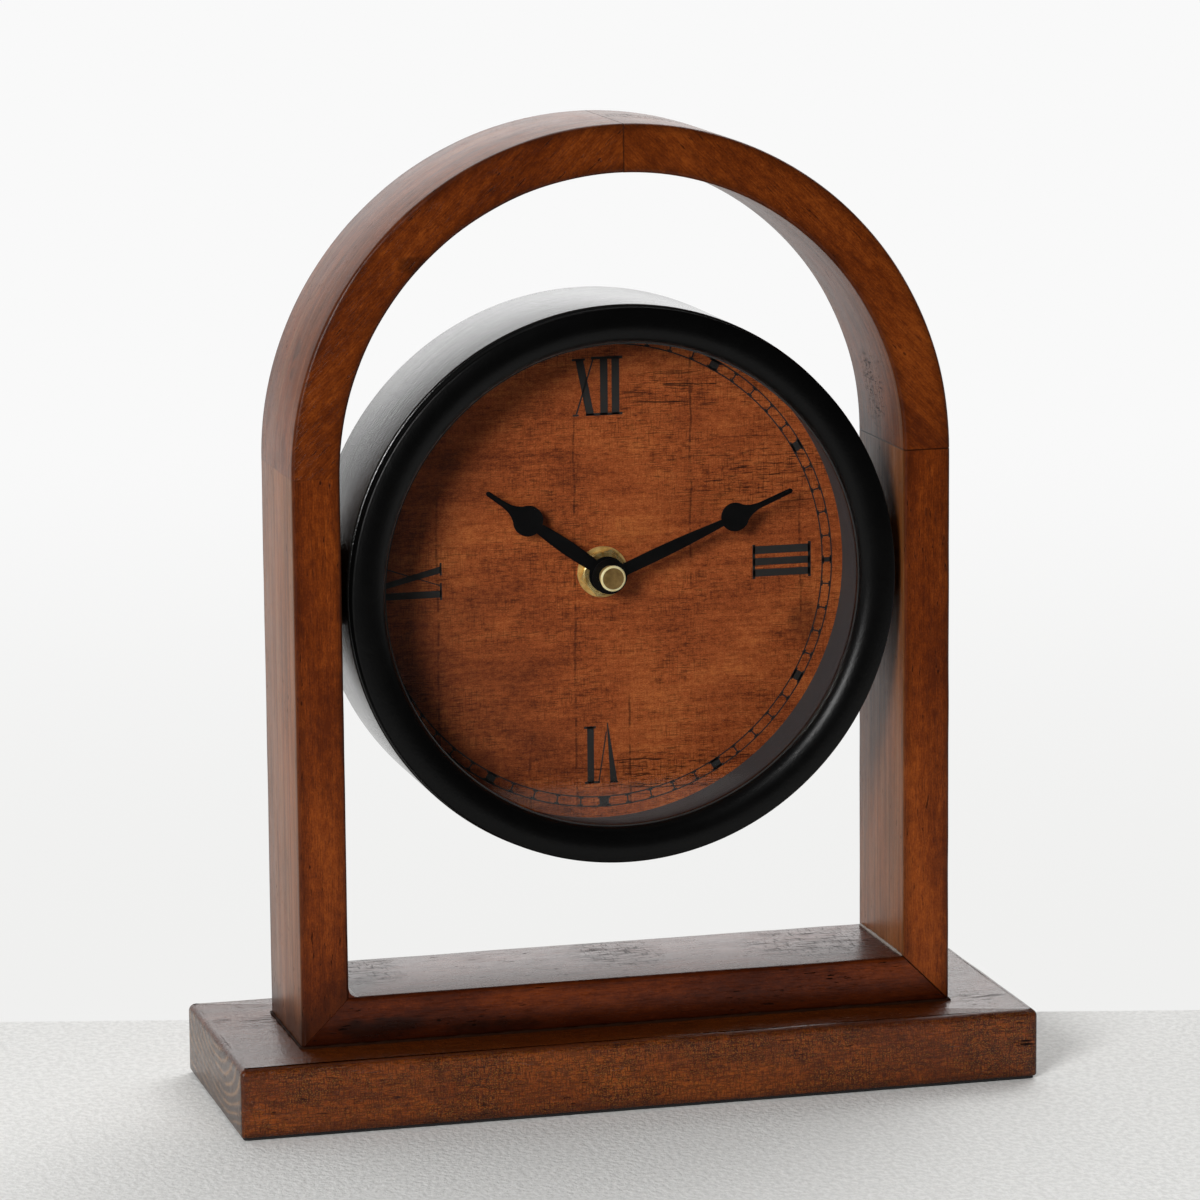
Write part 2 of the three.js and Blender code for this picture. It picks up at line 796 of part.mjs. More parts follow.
function makeHands() {
  const group = new THREE.Group();
  const hourBore = hourTubeRadius + handFit;
  const hourBack = hourHandFront + handThickness;
  const hourShape = handOutline(hourHandSizes, hourBore);
  const hourHand = piece('hour_hand', prism(hourShape, hourHandFront, hourBack), blackMetal);
  hourHand.rotation.y = -radians(hourAngle);
  const hourCollar = ring(hourBore, hourBore + collarWall, hourBack, hourBack + collarHeight, shaftSides);
  group.add(hourHand, piece('hour_hand_collar', hourCollar, blackMetal));

  const minuteShape = handOutline(minuteHandSizes, minuteTipRadius + handFit);
  const minuteHand = piece('minute_hand', prism(minuteShape, minuteHandFront, minuteHandBack), blackMetal);
  minuteHand.rotation.y = -radians(minuteAngle);
  const collarBore = minuteShaftRadius + handFit;
  const minuteCollar = ring(
    collarBore,
    collarBore + collarWall,
    minuteHandBack,
    minuteHandBack + 2 * collarHeight,
    shaftSides,
  );
  group.add(minuteHand, piece('minute_hand_collar', minuteCollar, blackMetal));

  const capFront = minuteHandFront - capHeight;
  const capBore = minuteTipRadius + handFit;
  const cap = turned(
    [
      [0, capFront],
      [capRadius - capChamfer, capFront],
      [capRadius, capFront + capChamfer],
      [capRadius, minuteHandFront],
      [capBore, minuteHandFront],
      [capBore, minuteHandFront - capBoreDepth],
      [0, minuteHandFront - capBoreDepth],
    ],
    washerSides,
  );
  group.add(piece('cap_nut', cap, brass));
  return group;
}

// Straight-flanked teeth: half widths in pitches at the root and at the tip
const toothRoot = { rise: -1.2, width: 0.275 };
const toothTip = { rise: 0.8, width: 0.11 };

function gearOutline(teeth, module, bore = 0) {
  const root = module * (teeth / 2 + toothRoot.rise);
  const tip = module * (teeth / 2 + toothTip.rise);
  return toothedOutline(teeth, root, tip, toothRoot.width, toothTip.width, bore);
}

function toothedOutline(teeth, root, tip, rootWidth, tipWidth, bore = 0) {
  const corners = [];
  const pitch = 360 / teeth;
  for (let i = 0; i < teeth; i++) {
    const around = [[root, i - rootWidth], [tip, i - tipWidth], [tip, i + tipWidth], [root, i + rootWidth]];
    for (const [radius, place] of around) {
      const corner = stepFrom(axis, radius, pitch * place);
      corners.push([corner.x, corner.z]);
    }
  }
  const shape = polygon(corners);
  if (bore > 0) {
    const hole = new THREE.Path();
    hole.absarc(0, 0, bore, 0, 2 * Math.PI, true);
    shape.holes.push(hole);
  }
  return shape;
}

// The turn that puts a follower's teeth in the gaps of the wheel that it meshes with.
// Both turns are in degrees from +X towards +Z, and bearing points from wheel to follower.
function meshTurn(wheelTeeth, wheelTurn, bearing, followerTeeth) {
  const phase = ((bearing - wheelTurn) * wheelTeeth) / 360;
  return bearing + 180 - ((0.5 - phase) * 360) / followerTeeth;
}

function wheelPiece(name, body, material, place, turn) {
  const mesh = piece(name, body, material, place.x, 0, place.z);
  mesh.rotation.y = -radians(turn);
  return mesh;
}

// Wheels that carry the hands, and the knob that sets them
function makeMotionWork() {
  const group = new THREE.Group();
  const motionTurn = meshTurn(cannonTeeth, minuteAngle, motionWheelBearing, motionWheelTeeth);
  const hourTurn = meshTurn(
    motionPinionTeeth,
    motionTurn,
    motionWheelBearing + 180,
    hourWheelTeeth,
  );
  const knobTurn = meshTurn(motionWheelTeeth, motionTurn, knobBearing, knobPinionTeeth);
  const motionWheelBack = motionWheelFront + motionFace;
  const pinionFront = hourWheelFront - looseFit;

  const cannon = prism(
    gearOutline(cannonTeeth, motionModule, minuteShaftBore),
    motionWheelFront - pinionOverhang,
    motionWheelBack + pinionOverhang,
  );
  const tipEnd = minuteHandFront - capBoreDepth + runningGap;
  const shaft = turned(
    [
      [minuteShaftBore, tipEnd],
      [minuteTipRadius, tipEnd],
      [minuteTipRadius, minuteHandBack],
      [minuteShaftRadius, minuteHandBack],
      [minuteShaftRadius, minuteShaftEnd],
      [minuteShaftBore, minuteShaftEnd],
      [minuteShaftBore, tipEnd],
    ],
    shaftSides,
  );
  const seat = ring(
    minuteShaftBore,
    minuteShaftRadius + seatWall,
    centreFront - 0.75 * layerGap,
    centreFront - 0.25 * layerGap,
    shaftSides,
  );
  group.add(wheelPiece('minute_shaft', shaft.add(cannon).add(seat), brass, axis, minuteAngle));

  const springBore = minuteShaftRadius + looseFit;
  const springBack = springFront + springThickness;
  const spring = ring(springBore, springBore + springWidth, springFront, springBack, shaftSides);
  group.add(piece('clutch_spring', spring, steel));

  const hourDisc = prism(
    gearOutline(hourWheelTeeth, hourModule, hourTubeBore),
    hourWheelFront,
    hourWheelFront + motionFace,
  );
  const hourTube = ring(
    hourTubeBore,
    hourTubeRadius,
    hourHandFront,
    hourWheelFront + motionFace,
    shaftSides,
  );
  group.add(wheelPiece('hour_wheel', hourTube.add(hourDisc), whitePlastic, axis, hourTurn));

  const motionBore = postRadius + pivotClearance;
  const motionDisc = prism(
    gearOutline(motionWheelTeeth, motionModule, motionBore),
    motionWheelFront,
    motionWheelBack,
  );
  const motionPinion = prism(
    gearOutline(motionPinionTeeth, hourModule, motionBore),
    pinionFront,
    motionWheelFront,
  );
  const motionWheel = motionDisc.add(motionPinion);
  group.add(wheelPiece('motion_wheel', motionWheel, whitePlastic, motionPlace, motionTurn));

  const knobPinion = prism(
    gearOutline(knobPinionTeeth, motionModule),
    motionWheelFront - knobPinionSpare,
    motionWheelBack + knobPinionSpare,
  );
  const knobFront = caseBack + runningGap;
  const knobShaft = rod(knobShaftRadius, motionWheelBack, knobFront + knobThickness / 2, smallSides);
  const knobPivot = rod(postRadius, caseInside - pivotDepth, motionWheelFront, smallSides);
  const ribs = toothedOutline(
    knobRibs,
    knobRadius - knobRibDepth,
    knobRadius,
    knobRibRoot,
    knobRibCrest,
  );
  const knobDisc = prism(ribs, knobFront, knobFront + knobThickness);
  const knob = knobPinion.add(knobShaft).add(knobPivot).add(knobDisc);
  group.add(wheelPiece('set_knob', knob, whitePlastic, knobPlace, knobTurn));
  return group;
}

// A moulded wheel with its pinion and its arbor, from the middle plate to the cover
function trainWheel(wheel, wheelFront, pinion, pinionFront) {
  const start = plateFront + plateThickness - pivotDepth;
  const end = coverFront + pivotDepth;
  const arbor = rod(pivotRadius, start, end, smallSides);
  const disc = prism(wheel, wheelFront, wheelFront + trainFace);
  const leaves = prism(pinion, pinionFront - pinionOverhang, pinionFront + trainFace + pinionOverhang);
  return arbor.add(disc).add(leaves);
}

// Wheels from the motor to the minute shaft
function makeTrain() {
  const group = new THREE.Group();
  const centreTurn = minuteAngle;
  const thirdTurn = meshTurn(centreTeeth, centreTurn, thirdBearing, thirdPinionTeeth);
  const secondsTurn = meshTurn(thirdTeeth, thirdTurn, thirdBearing + 180, secondsPinionTeeth);
  const fifthTurn = meshTurn(secondsTeeth, secondsTurn, fifthBearing, fifthPinionTeeth);
  const rotorTurn = meshTurn(fifthTeeth, fifthTurn, rotorBearing, rotorPinionTeeth);

  const centre = prism(
    gearOutline(centreTeeth, trainModule, minuteShaftRadius + looseFit),
    centreFront,
    centreFront + trainFace,
  );
  group.add(wheelPiece('centre_wheel', centre, whitePlastic, axis, centreTurn));

  const third = trainWheel(
    gearOutline(thirdTeeth, thirdModule),
    thirdFront,
    gearOutline(thirdPinionTeeth, trainModule),
    centreFront,
  );
  group.add(wheelPiece('third_wheel', third, whitePlastic, thirdPlace, thirdTurn));

  const secondsTip = minuteHandFront - capBoreDepth + 2 * runningGap;
  const secondsShaft = rod(secondShaftRadius, secondsTip, coverFront + pivotDepth, smallSides);
  const secondsDisc = prism(
    gearOutline(secondsTeeth, fastModule),
    secondsFront,
    secondsFront + trainFace,
  );
  const secondsLeaves = prism(
    gearOutline(secondsPinionTeeth, thirdModule),
    thirdFront - pinionOverhang,
    thirdFront + trainFace + pinionOverhang,
  );
  const seconds = secondsShaft.add(secondsDisc).add(secondsLeaves);
  group.add(wheelPiece('seconds_wheel', seconds, whitePlastic, axis, secondsTurn));

  const fifth = trainWheel(
    gearOutline(fifthTeeth, fastModule),
    fifthFront,
    gearOutline(fifthPinionTeeth, fastModule),
    secondsFront,
  );
  group.add(wheelPiece('fifth_wheel', fifth, whitePlastic, fifthPlace, fifthTurn));

  const magnetFront = thirdFront - magnetLead;
  const magnet = rod(magnetRadius, magnetFront, magnetFront + magnetLength, shaftSides);
  const rotorArbor = rod(
    pivotRadius,
    plateFront + plateThickness - pivotDepth,
    coverFront + pivotDepth,
    smallSides,
  );
  const rotorLeaves = prism(
    gearOutline(rotorPinionTeeth, fastModule),
    fifthFront - pinionOverhang,
    fifthFront + trainFace + pinionOverhang,
  );
  const rotor = magnet.add(rotorArbor).add(rotorLeaves);
  group.add(wheelPiece('rotor', rotor, steel, rotorPlace, rotorTurn));
  return group;
}

// Stator, coil and circuit board
const statorFront = thirdFront + statorLead;
const statorBottom = rotorPlace.z - statorBore - statorBridge;
const statorTop = rotorPlace.z + statorBore + statorBridge;
const coilHeight = caseWidth / 2 - caseWall - coilRadius - coilMargin;
const coilDepth = statorFront - coreThickness / 2 - looseFit;
const coilLeft = rotorPlace.x - coilOffset;
const coilRight = coilLeft + coilLength;
const legGap = 1;

function makeMotor() {
  const group = new THREE.Group();
  const legTop = coilHeight + coreWidth / 2;
  const leftOuter = coilLeft - legGap - statorLegWidth;
  const rightOuter = coilRight + legGap + statorLegWidth;
  const statorShape = polygon([
    [leftOuter, statorBottom],
    [rightOuter, statorBottom],
    [rightOuter, legTop],
    [coilRight + legGap, legTop],
    [coilRight + legGap, statorTop],
    [coilLeft - legGap, statorTop],
    [coilLeft - legGap, legTop],
    [leftOuter, legTop],
  ]);
  const rotorHole = new THREE.Path();
  rotorHole.absarc(rotorPlace.x, rotorPlace.z, statorBore, 0, 2 * Math.PI, true);
  statorShape.holes.push(rotorHole);
  const stator = prism(statorShape, statorFront, statorFront + statorThickness, 10);
  group.add(piece('stator_plate', stator, steel));

  const coreFront = coilDepth - coreThickness / 2;
  const core = block(
    leftOuter,
    rightOuter,
    coreFront,
    coreFront + coreThickness,
    coilHeight - coreWidth / 2,
    coilHeight + coreWidth / 2,
  );
  group.add(piece('coil_core', core, steel));

  const coreReach = Math.hypot(coreWidth, coreThickness) / 2 + coilFit;
  const bobbin = turned(
    [
      [coreReach, coilLeft],
      [coilRadius, coilLeft],
      [coilRadius, coilLeft + coilFlange],
      [coilBarrelRadius, coilLeft + coilFlange],
      [coilBarrelRadius, coilRight - coilFlange],
      [coilRadius, coilRight - coilFlange],
      [coilRadius, coilRight],
      [coreReach, coilRight],
      [coreReach, coilLeft],
    ],
    shaftSides,
    'x',
  );
  group.add(piece('coil_bobbin', bobbin, whitePlastic, 0, coilDepth, coilHeight));

  const windingInner = coilBarrelRadius + looseFit;
  const windingLeft = coilLeft + coilFlange + looseFit;
  const windingRight = coilRight - coilFlange - looseFit;
  const wound = [
    [windingInner, windingLeft],
    [coilWindingRadius, windingLeft],
    [coilWindingRadius, windingRight],
    [windingInner, windingRight],
    [windingInner, windingLeft],
  ];
  group.add(piece('coil_winding', turned(wound, shaftSides, 'x'), copper, 0, coilDepth, coilHeight));

  const boardRight = caseWidth / 2 - caseWall - boardMargin;
  const boardTopEdge = caseWidth / 2 - caseWall - boardMargin;
  const boardFront = caseInside + runningGap;
  const boardBack = boardFront + circuitThickness;
  const circuit = block(
    boardRight - boardLength,
    boardRight,
    boardFront,
    boardBack,
    boardTopEdge - boardWidth,
    boardTopEdge,
  );
  group.add(piece('circuit_board', circuit, circuitGreen));
  const chipFront = boardBack + solderGap;
  const chip = turned(
    [
      [0, chipFront],
      [chipRadius, chipFront],
      [chipTopRadius, chipFront + chipHeight],
      [0, chipFront + chipHeight],
    ],
    smallSides,
  );
  const chipX = boardRight - chipPlace;
  const partsZ = boardTopEdge - boardWidth / 2;
  group.add(piece('timer_chip', chip, blackPlastic, chipX, 0, partsZ));
  const crystal = rod(crystalRadius, 0, crystalLength, smallSides, 'x');
  const crystalDepth = boardBack + crystalRadius + looseFit;
  group.add(piece('quartz_crystal', crystal, steel, boardRight - crystalPlace, crystalDepth, partsZ));
  return group;
}

// Case, middle plate, cover and battery
const bayTop = -caseWidth / 2 + 2 * caseWall + 2 * (batteryRadius + batteryClearance);
const batteryHeight = -caseWidth / 2 + caseWall + batteryRadius + batteryClearance;
const batteryDepth = caseInside + batteryRadius + batteryClearance;
const plateLeft = thirdPlace.x - plateReach;
const plateRight = knobPlace.x + knobShaftRadius + plateOverhang;
const plateBottom = bayTop + plateGap;
const plateTop = rotorPlace.z + plateOverhang;

function makeCase() {
  const group = new THREE.Group();
  const half = caseWidth / 2;
  const inside = half - caseWall;
  const past = 1;
  const outline = roundedRectangle(-half, half, -half, half, caseCornerRadius);
  const chamber = block(-inside, inside, caseInside, caseBack + past, bayTop, inside);
  const coverSeat = block(
    -half - past,
    half + past,
    coverFront - coverSeam,
    caseBack + past,
    bayTop - caseWall - coverSeam,
    half + past,
  );
  const bay = block(-inside, inside, caseInside, caseBack + past, -inside, bayTop - caseWall);
  let shell = prism(outline, caseFront, caseBack, cornerSteps);
  shell = shell.subtract(chamber).subtract(coverSeat).subtract(bay);

  // Posts for the motion wheel, the middle plate and the motor
  const rootDepth = caseWall / 3;
  const pillar = (radius, x, z, end) => {
    return rod(radius, caseInside - rootDepth, end, postSides).translate(x, 0, z);
  };
  const motionPostEnd = motionWheelFront + motionFace;
  shell = shell.add(pillar(postRadius, motionPlace.x, motionPlace.z, motionPostEnd));
  const bossInset = bossRadius + runningGap;
  const plateCorners = [
    [plateLeft + bossInset, plateBottom + bossInset],
    [plateRight - bossInset, plateBottom + bossInset],
    [plateLeft + bossInset, plateTop - bossInset],
    [plateRight - bossInset, 0],
  ];
  for (const [x, z] of plateCorners) {
    shell = shell.add(pillar(bossRadius, x, z, plateFront));
  }
  const legMiddle = legGap + statorLegWidth / 2;
  for (const x of [coilLeft - legMiddle, coilRight + legMiddle]) {
    shell = shell.add(pillar(coilBossRadius, x, coilHeight - coilBossDrop, statorFront));
  }
  const bushHole = rod(bushRadius + looseFit, caseFront - past, caseInside + past, shaftSides);
  const flangeSeat = rod(
    bushFlangeRadius + looseFit,
    caseInside - bushFlangeThickness,
    caseInside + past,
    shaftSides,
  );
  const knobSocket = rod(
    postRadius + pivotClearance,
    caseInside - pivotDepth - looseFit,
    caseInside + past,
    smallSides,
  );
  shell = shell.subtract(bushHole).subtract(flangeSeat);
  shell = shell.subtract(knobSocket.translate(knobPlace.x, 0, knobPlace.z));
  group.add(piece('movement_case', shell, blackPlastic));

  // Middle plate: it carries the train's front pivots
  const plateBack = plateFront + plateThickness;
  const pivotHole = rod(
    pivotRadius + pivotClearance,
    plateFront - past,
    plateBack + past,
    smallSides,
  );
  const shaftHole = rod(
    minuteShaftRadius + runningGap,
    plateFront - past,
    plateBack + past,
    shaftSides,
  );
  const knobBore = rod(knobShaftRadius + runningGap, plateFront - past, caseBack + past, shaftSides);
  const knobHole = knobBore.translate(knobPlace.x, 0, knobPlace.z);
  let plate = block(plateLeft, plateRight, plateFront, plateBack, plateBottom, plateTop);
  plate = plate.subtract(shaftHole).subtract(knobHole);
  for (const place of [thirdPlace, fifthPlace, rotorPlace]) {
    plate = plate.subtract(pivotHole.translate(place.x, 0, place.z));
  }
  group.add(piece('middle_plate', plate, whitePlastic));

  // Back cover, with blind holes for the rear pivots and four tabs inside the walls
  const coverBottom = bayTop - caseWall + jointClearance;
  const coverArea = block(-half, half, coverFront - past, caseBack + past, coverBottom, half);
  let cover = prism(outline, coverFront, caseBack, cornerSteps).intersect(coverArea);
  const tabOuter = inside - runningGap;
  const tabRoot = coverFront + caseWall / 3;
  for (const z of [bayTop + tabLength, inside - tabLength - tabInset]) {
    const tab = block(
      tabOuter - tabThickness,
      tabOuter,
      coverFront - tabReach,
      tabRoot,
      z,
      z + tabLength,
    );
    cover = cover.add(tab).add(tab.mirror([1, 0, 0]));
  }
  cover = cover.subtract(knobHole);
  const rearHole = rod(
    pivotRadius + pivotClearance,
    coverFront - past,
    coverFront + pivotDepth + looseFit,
    smallSides,
  );
  for (const place of [axis, thirdPlace, fifthPlace, rotorPlace]) {
    cover = cover.subtract(rearHole.translate(place.x, 0, place.z));
  }
  group.add(piece('movement_cover', cover, blackPlastic));

  // Battery and its two contacts
  const bodyStart = -inside + 2 * contactThickness + contactTravel;
  const bodyEnd = bodyStart + batteryLength;
  const battery = turned(
    [
      [0, bodyStart],
      [batteryRadius - batteryShoulder, bodyStart],
      [batteryRadius, bodyStart + batteryShoulder],
      [batteryRadius, bodyEnd - batteryShoulder],
      [batteryRadius - batteryShoulder, bodyEnd],
      [batteryNubRadius, bodyEnd],
      [batteryNubRadius, bodyEnd + batteryNubLength],
      [0, bodyEnd + batteryNubLength],
    ],
    shaftSides,
    'x',
  );
  group.add(piece('battery_cell', battery, batteryJacket, 0, batteryDepth, batteryHeight));
  const wallFace = -inside + looseFit;
  const leafEnd = 5;
  const leafCrown = bodyStart - looseFit;
  const leafOutline = polygon([
    [wallFace, batteryDepth - leafEnd],
    [wallFace + contactThickness, batteryDepth - leafEnd],
    [leafCrown, batteryDepth],
    [wallFace + contactThickness, batteryDepth + leafEnd],
    [wallFace, batteryDepth + leafEnd],
    [leafCrown - contactThickness, batteryDepth],
  ]);
  const leaf = new THREE.ExtrudeGeometry(leafOutline, { depth: contactWidth, bevelEnabled: false });
  leaf.translate(0, 0, batteryHeight - contactWidth / 2);
  group.add(piece('negative_contact', solid(leaf), steel));
  const nubEnd = bodyEnd + batteryNubLength;
  const plus = block(
    nubEnd + looseFit,
    inside - looseFit,
    batteryDepth - contactWidth / 2,
    batteryDepth + contactWidth / 2,
    batteryHeight - contactWidth / 2,
    batteryHeight + contactWidth / 2,
  );
  group.add(piece('positive_contact', plus, steel));
  return group;
}

const clock = new THREE.Group();
const drumAssembly = new THREE.Group();
drumAssembly.position.z = axisHeight;
drumAssembly.add(makeDrum(), makeClamp(), makeHands(), makeMotionWork(), makeTrain());
drumAssembly.add(makeMotor(), makeCase());
clock.add(makeBase(), makeFrame(), drumAssembly);

export default clock;
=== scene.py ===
import json
import math
from functools import reduce

import bmesh
import bpy
from mathutils import Matrix, Vector, noise


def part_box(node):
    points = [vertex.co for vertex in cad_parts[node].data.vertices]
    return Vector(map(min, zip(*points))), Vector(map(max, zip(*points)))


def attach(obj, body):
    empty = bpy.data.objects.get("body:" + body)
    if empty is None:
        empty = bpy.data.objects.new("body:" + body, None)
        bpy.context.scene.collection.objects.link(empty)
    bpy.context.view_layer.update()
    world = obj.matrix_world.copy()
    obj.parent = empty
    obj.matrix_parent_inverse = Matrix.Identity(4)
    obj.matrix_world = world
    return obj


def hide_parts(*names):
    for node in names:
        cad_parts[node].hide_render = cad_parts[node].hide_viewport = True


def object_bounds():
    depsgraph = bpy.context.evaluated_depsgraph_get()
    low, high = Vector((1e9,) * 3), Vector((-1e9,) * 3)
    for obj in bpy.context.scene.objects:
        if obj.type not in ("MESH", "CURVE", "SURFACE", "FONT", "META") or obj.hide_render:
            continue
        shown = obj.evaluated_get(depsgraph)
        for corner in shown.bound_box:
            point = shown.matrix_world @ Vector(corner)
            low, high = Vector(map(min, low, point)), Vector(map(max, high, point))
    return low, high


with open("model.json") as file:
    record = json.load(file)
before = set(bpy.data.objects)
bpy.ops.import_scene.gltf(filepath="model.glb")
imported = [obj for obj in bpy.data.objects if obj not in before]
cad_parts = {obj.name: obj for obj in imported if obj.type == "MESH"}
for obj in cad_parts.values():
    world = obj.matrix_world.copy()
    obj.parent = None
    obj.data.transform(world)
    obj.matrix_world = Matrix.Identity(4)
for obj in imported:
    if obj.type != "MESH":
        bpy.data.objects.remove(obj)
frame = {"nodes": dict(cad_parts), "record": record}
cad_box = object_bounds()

# Lengths here are millimetres, and meshes are written in metres.
MM = 0.001


def span(node):
    """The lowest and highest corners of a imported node, in millimetres."""
    low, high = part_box(node)
    return Vector(low) / MM, Vector(high) / MM


# Sizes read from the frame
post_low, post_high = span("right_post")
rail_low, rail_high = span("bottom_rail")
board_low, board_high = span("base_board")
pad_low, pad_high = span("base_pad")
drum_low, drum_high = span("drum_shell")
glass_low, glass_high = span("glass_lens")
dial_low, dial_high = span("dial_board")
washer_low, washer_high = span("brass_washer")
nut_low, nut_high = span("hex_nut")
bush_low, bush_high = span("threaded_bush")
cap_low, cap_high = span("cap_nut")
hour_low, hour_high = span("hour_hand")
minute_low, minute_high = span("minute_hand")

INNER = post_low.x
OUTER = post_high.x
MIDDLE = (INNER + OUTER) / 2
HALF_DEPTH = post_high.y
SPRING = post_high.z
RAIL_BOTTOM = rail_low.z
RAIL_TOP = rail_high.z
AXIS_HEIGHT = (drum_low.z + drum_high.z) / 2
DRUM_RADIUS = drum_high.x
BOARD_TOP = board_high.z

# Edges and seams
STOCK_EDGE = 1.15
STOCK_WEAR = 0.35
SEAM_CHAMFER = 0.14
TIGHT_SEAM = 0.03
MITRE_GAP = 0.07
FILLET = 3.0
BOARD_CORNER = 1.3
BOARD_TOP_ROUND = 2.1
BOARD_FOOT_ROUND = 0.7
BOARD_SWAY = 0.25
PAD_EDGE = 0.1
PAD_SUNK = 0.35

# Drum and bezel
DRUM_WALL = 8.0
DRUM_ROUND = 0.8
DIAL_SHOULDER = 2.2
GLASS_SHOULDER = 2.7
DIAL_HOLE = 4.3
BEZEL_WIDTH = 11.0
BEZEL_STEP = 0.9
BEZEL_HEEL = 0.6
BEZEL_LIP = 0.4
BEZEL_EDGE = 0.7
BEZEL_SET_IN = 0.55
BEZEL_CREST = (75.4, -22.6)
BEZEL_FALL = 0.5

# Hands, in millimetres from the clock's axis along the hand
MINUTE_TURN = 67.65
HOUR_TURN = 305.95
# Length, hub radius, arm's width at the hub and at the bulb and its swell, bulb's place and radius,
# and the tip's width at the bulb and at its end
MINUTE_HAND = (59.0, 5.15, 3.6, 2.0, 0.75, 40.4, 4.2, 1.7, 1.5)
HOUR_HAND = (43.5, 5.25, 3.5, 3.1, 0.95, 28.5, 4.45, 1.7, 1.45)
SHOULDER = math.radians(38)
SHOULDER_PULL = 1.3
SHOULDER_REACH = 2.1
HAND_CHAMFER = 0.1

# Clamp on the axis
CLAMP_BORE = 4.15
NUT_APOTHEM = 6.15
NUT_CROWN = 5.9
NUT_FALL = 0.6
THREAD_PITCH = 0.5
THREAD_CREST = 4.0
THREAD_ROOT = 3.72
BUSH_BORE = 2.75
BUSH_FLANGE = 5.85

# Screws inside the drum
HEAD_RADIUS = 3.2
HEAD_HEIGHT = 2.2
SHANK_RADIUS = 1.75
SLOT_SIZE = (1.9, 8.0, 0.9)

# Print on the dial
TRACK_INNER = 66.1
TRACK_OUTER = 68.9
TRACK_LINE = 0.2
TICK_SERIF = 0.35
TICK_HALF = 0.22
QUARTER_HALF = 0.68
HOUR_HALF = 1.4
SERIF_REACH = 0.55
INK_THICKNESS = 0.03
RULED_LINES = (
    (-8.2, -72.0, 52.0),
    (7.8, -72.0, -34.0),
    (-48.7, -60.0, 30.0),
    (59.4, -20.0, 24.0),
    (26.5, -8.0, 66.0),
    (-22.0, -72.0, -50.0),
)

ROOT_HALF = math.sqrt(0.5)

# Camera
CAMERA_PLACE = (-405.19, -1523.07, 427.92)
CAMERA_TURNS = ((-14.820, "Z"), (79.671, "X"), (-0.502, "Z"))
CAMERA_LENS = 167.57
SENSOR_WIDTH = 36.0


def linked(name, data):
    """A new object in the scene."""
    thing = bpy.data.objects.new(name, data)
    bpy.context.scene.collection.objects.link(thing)
    return thing


def make_camera():
    """Turned from straight down: by its azimuth, up to its elevation, and by its roll."""
    data = bpy.data.cameras.new("camera")
    data.lens = CAMERA_LENS
    data.sensor_width = SENSOR_WIDTH
    data.clip_start = 0.05
    data.clip_end = 50
    camera = linked("camera", data)
    camera.matrix_world = Matrix.Translation(Vector(CAMERA_PLACE) * MM)
    for degrees, axis in CAMERA_TURNS:
        camera.matrix_world = camera.matrix_world @ Matrix.Rotation(math.radians(degrees), 4, axis)
    bpy.context.scene.camera = camera


# Shader tools


def srgb(red, green, blue):
    """A colour from its screen values, 0 to 255, as the linear one that nodes take."""
    linear = []
    for value in (red, green, blue):
        part = value / 255
        linear.append(part / 12.92 if part <= 0.04045 else ((part + 0.055) / 1.055) ** 2.4)
    return (*linear, 1.0)


def operation(kind, reflected=False):
    """A method that adds a Math node of a kind."""

    def act(value, *others):
        terms = (*others, value) if reflected else (value, *others)
        return value.tree.node("ShaderNodeMath", {"operation": kind}, dict(enumerate(terms)))

    return act


class Value:
    """An output socket. Arithmetic on it adds Math nodes."""

    def __init__(self, tree, socket):
        self.tree = tree
        self.socket = socket

    __add__ = __radd__ = operation("ADD")
    __sub__ = operation("SUBTRACT")
    __rsub__ = operation("SUBTRACT", reflected=True)
    __mul__ = __rmul__ = operation("MULTIPLY")
    __pow__ = operation("POWER")
    __abs__ = operation("ABSOLUTE")
    wave = operation("SINE")
    least = operation("MINIMUM")
    most = operation("MAXIMUM")

    def eased(self, start, end, first=0.0, last=1.0):
        """Goes smoothly from first to last as the value goes from start to end."""
        return self.tree.node(
            "ShaderNodeMapRange",
            {"interpolation_type": "SMOOTHSTEP"},
            {"Value": self, "From Min": start, "From Max": end, "To Min": first, "To Max": last},
        )


def highest(values):
    return reduce(Value.most, values)


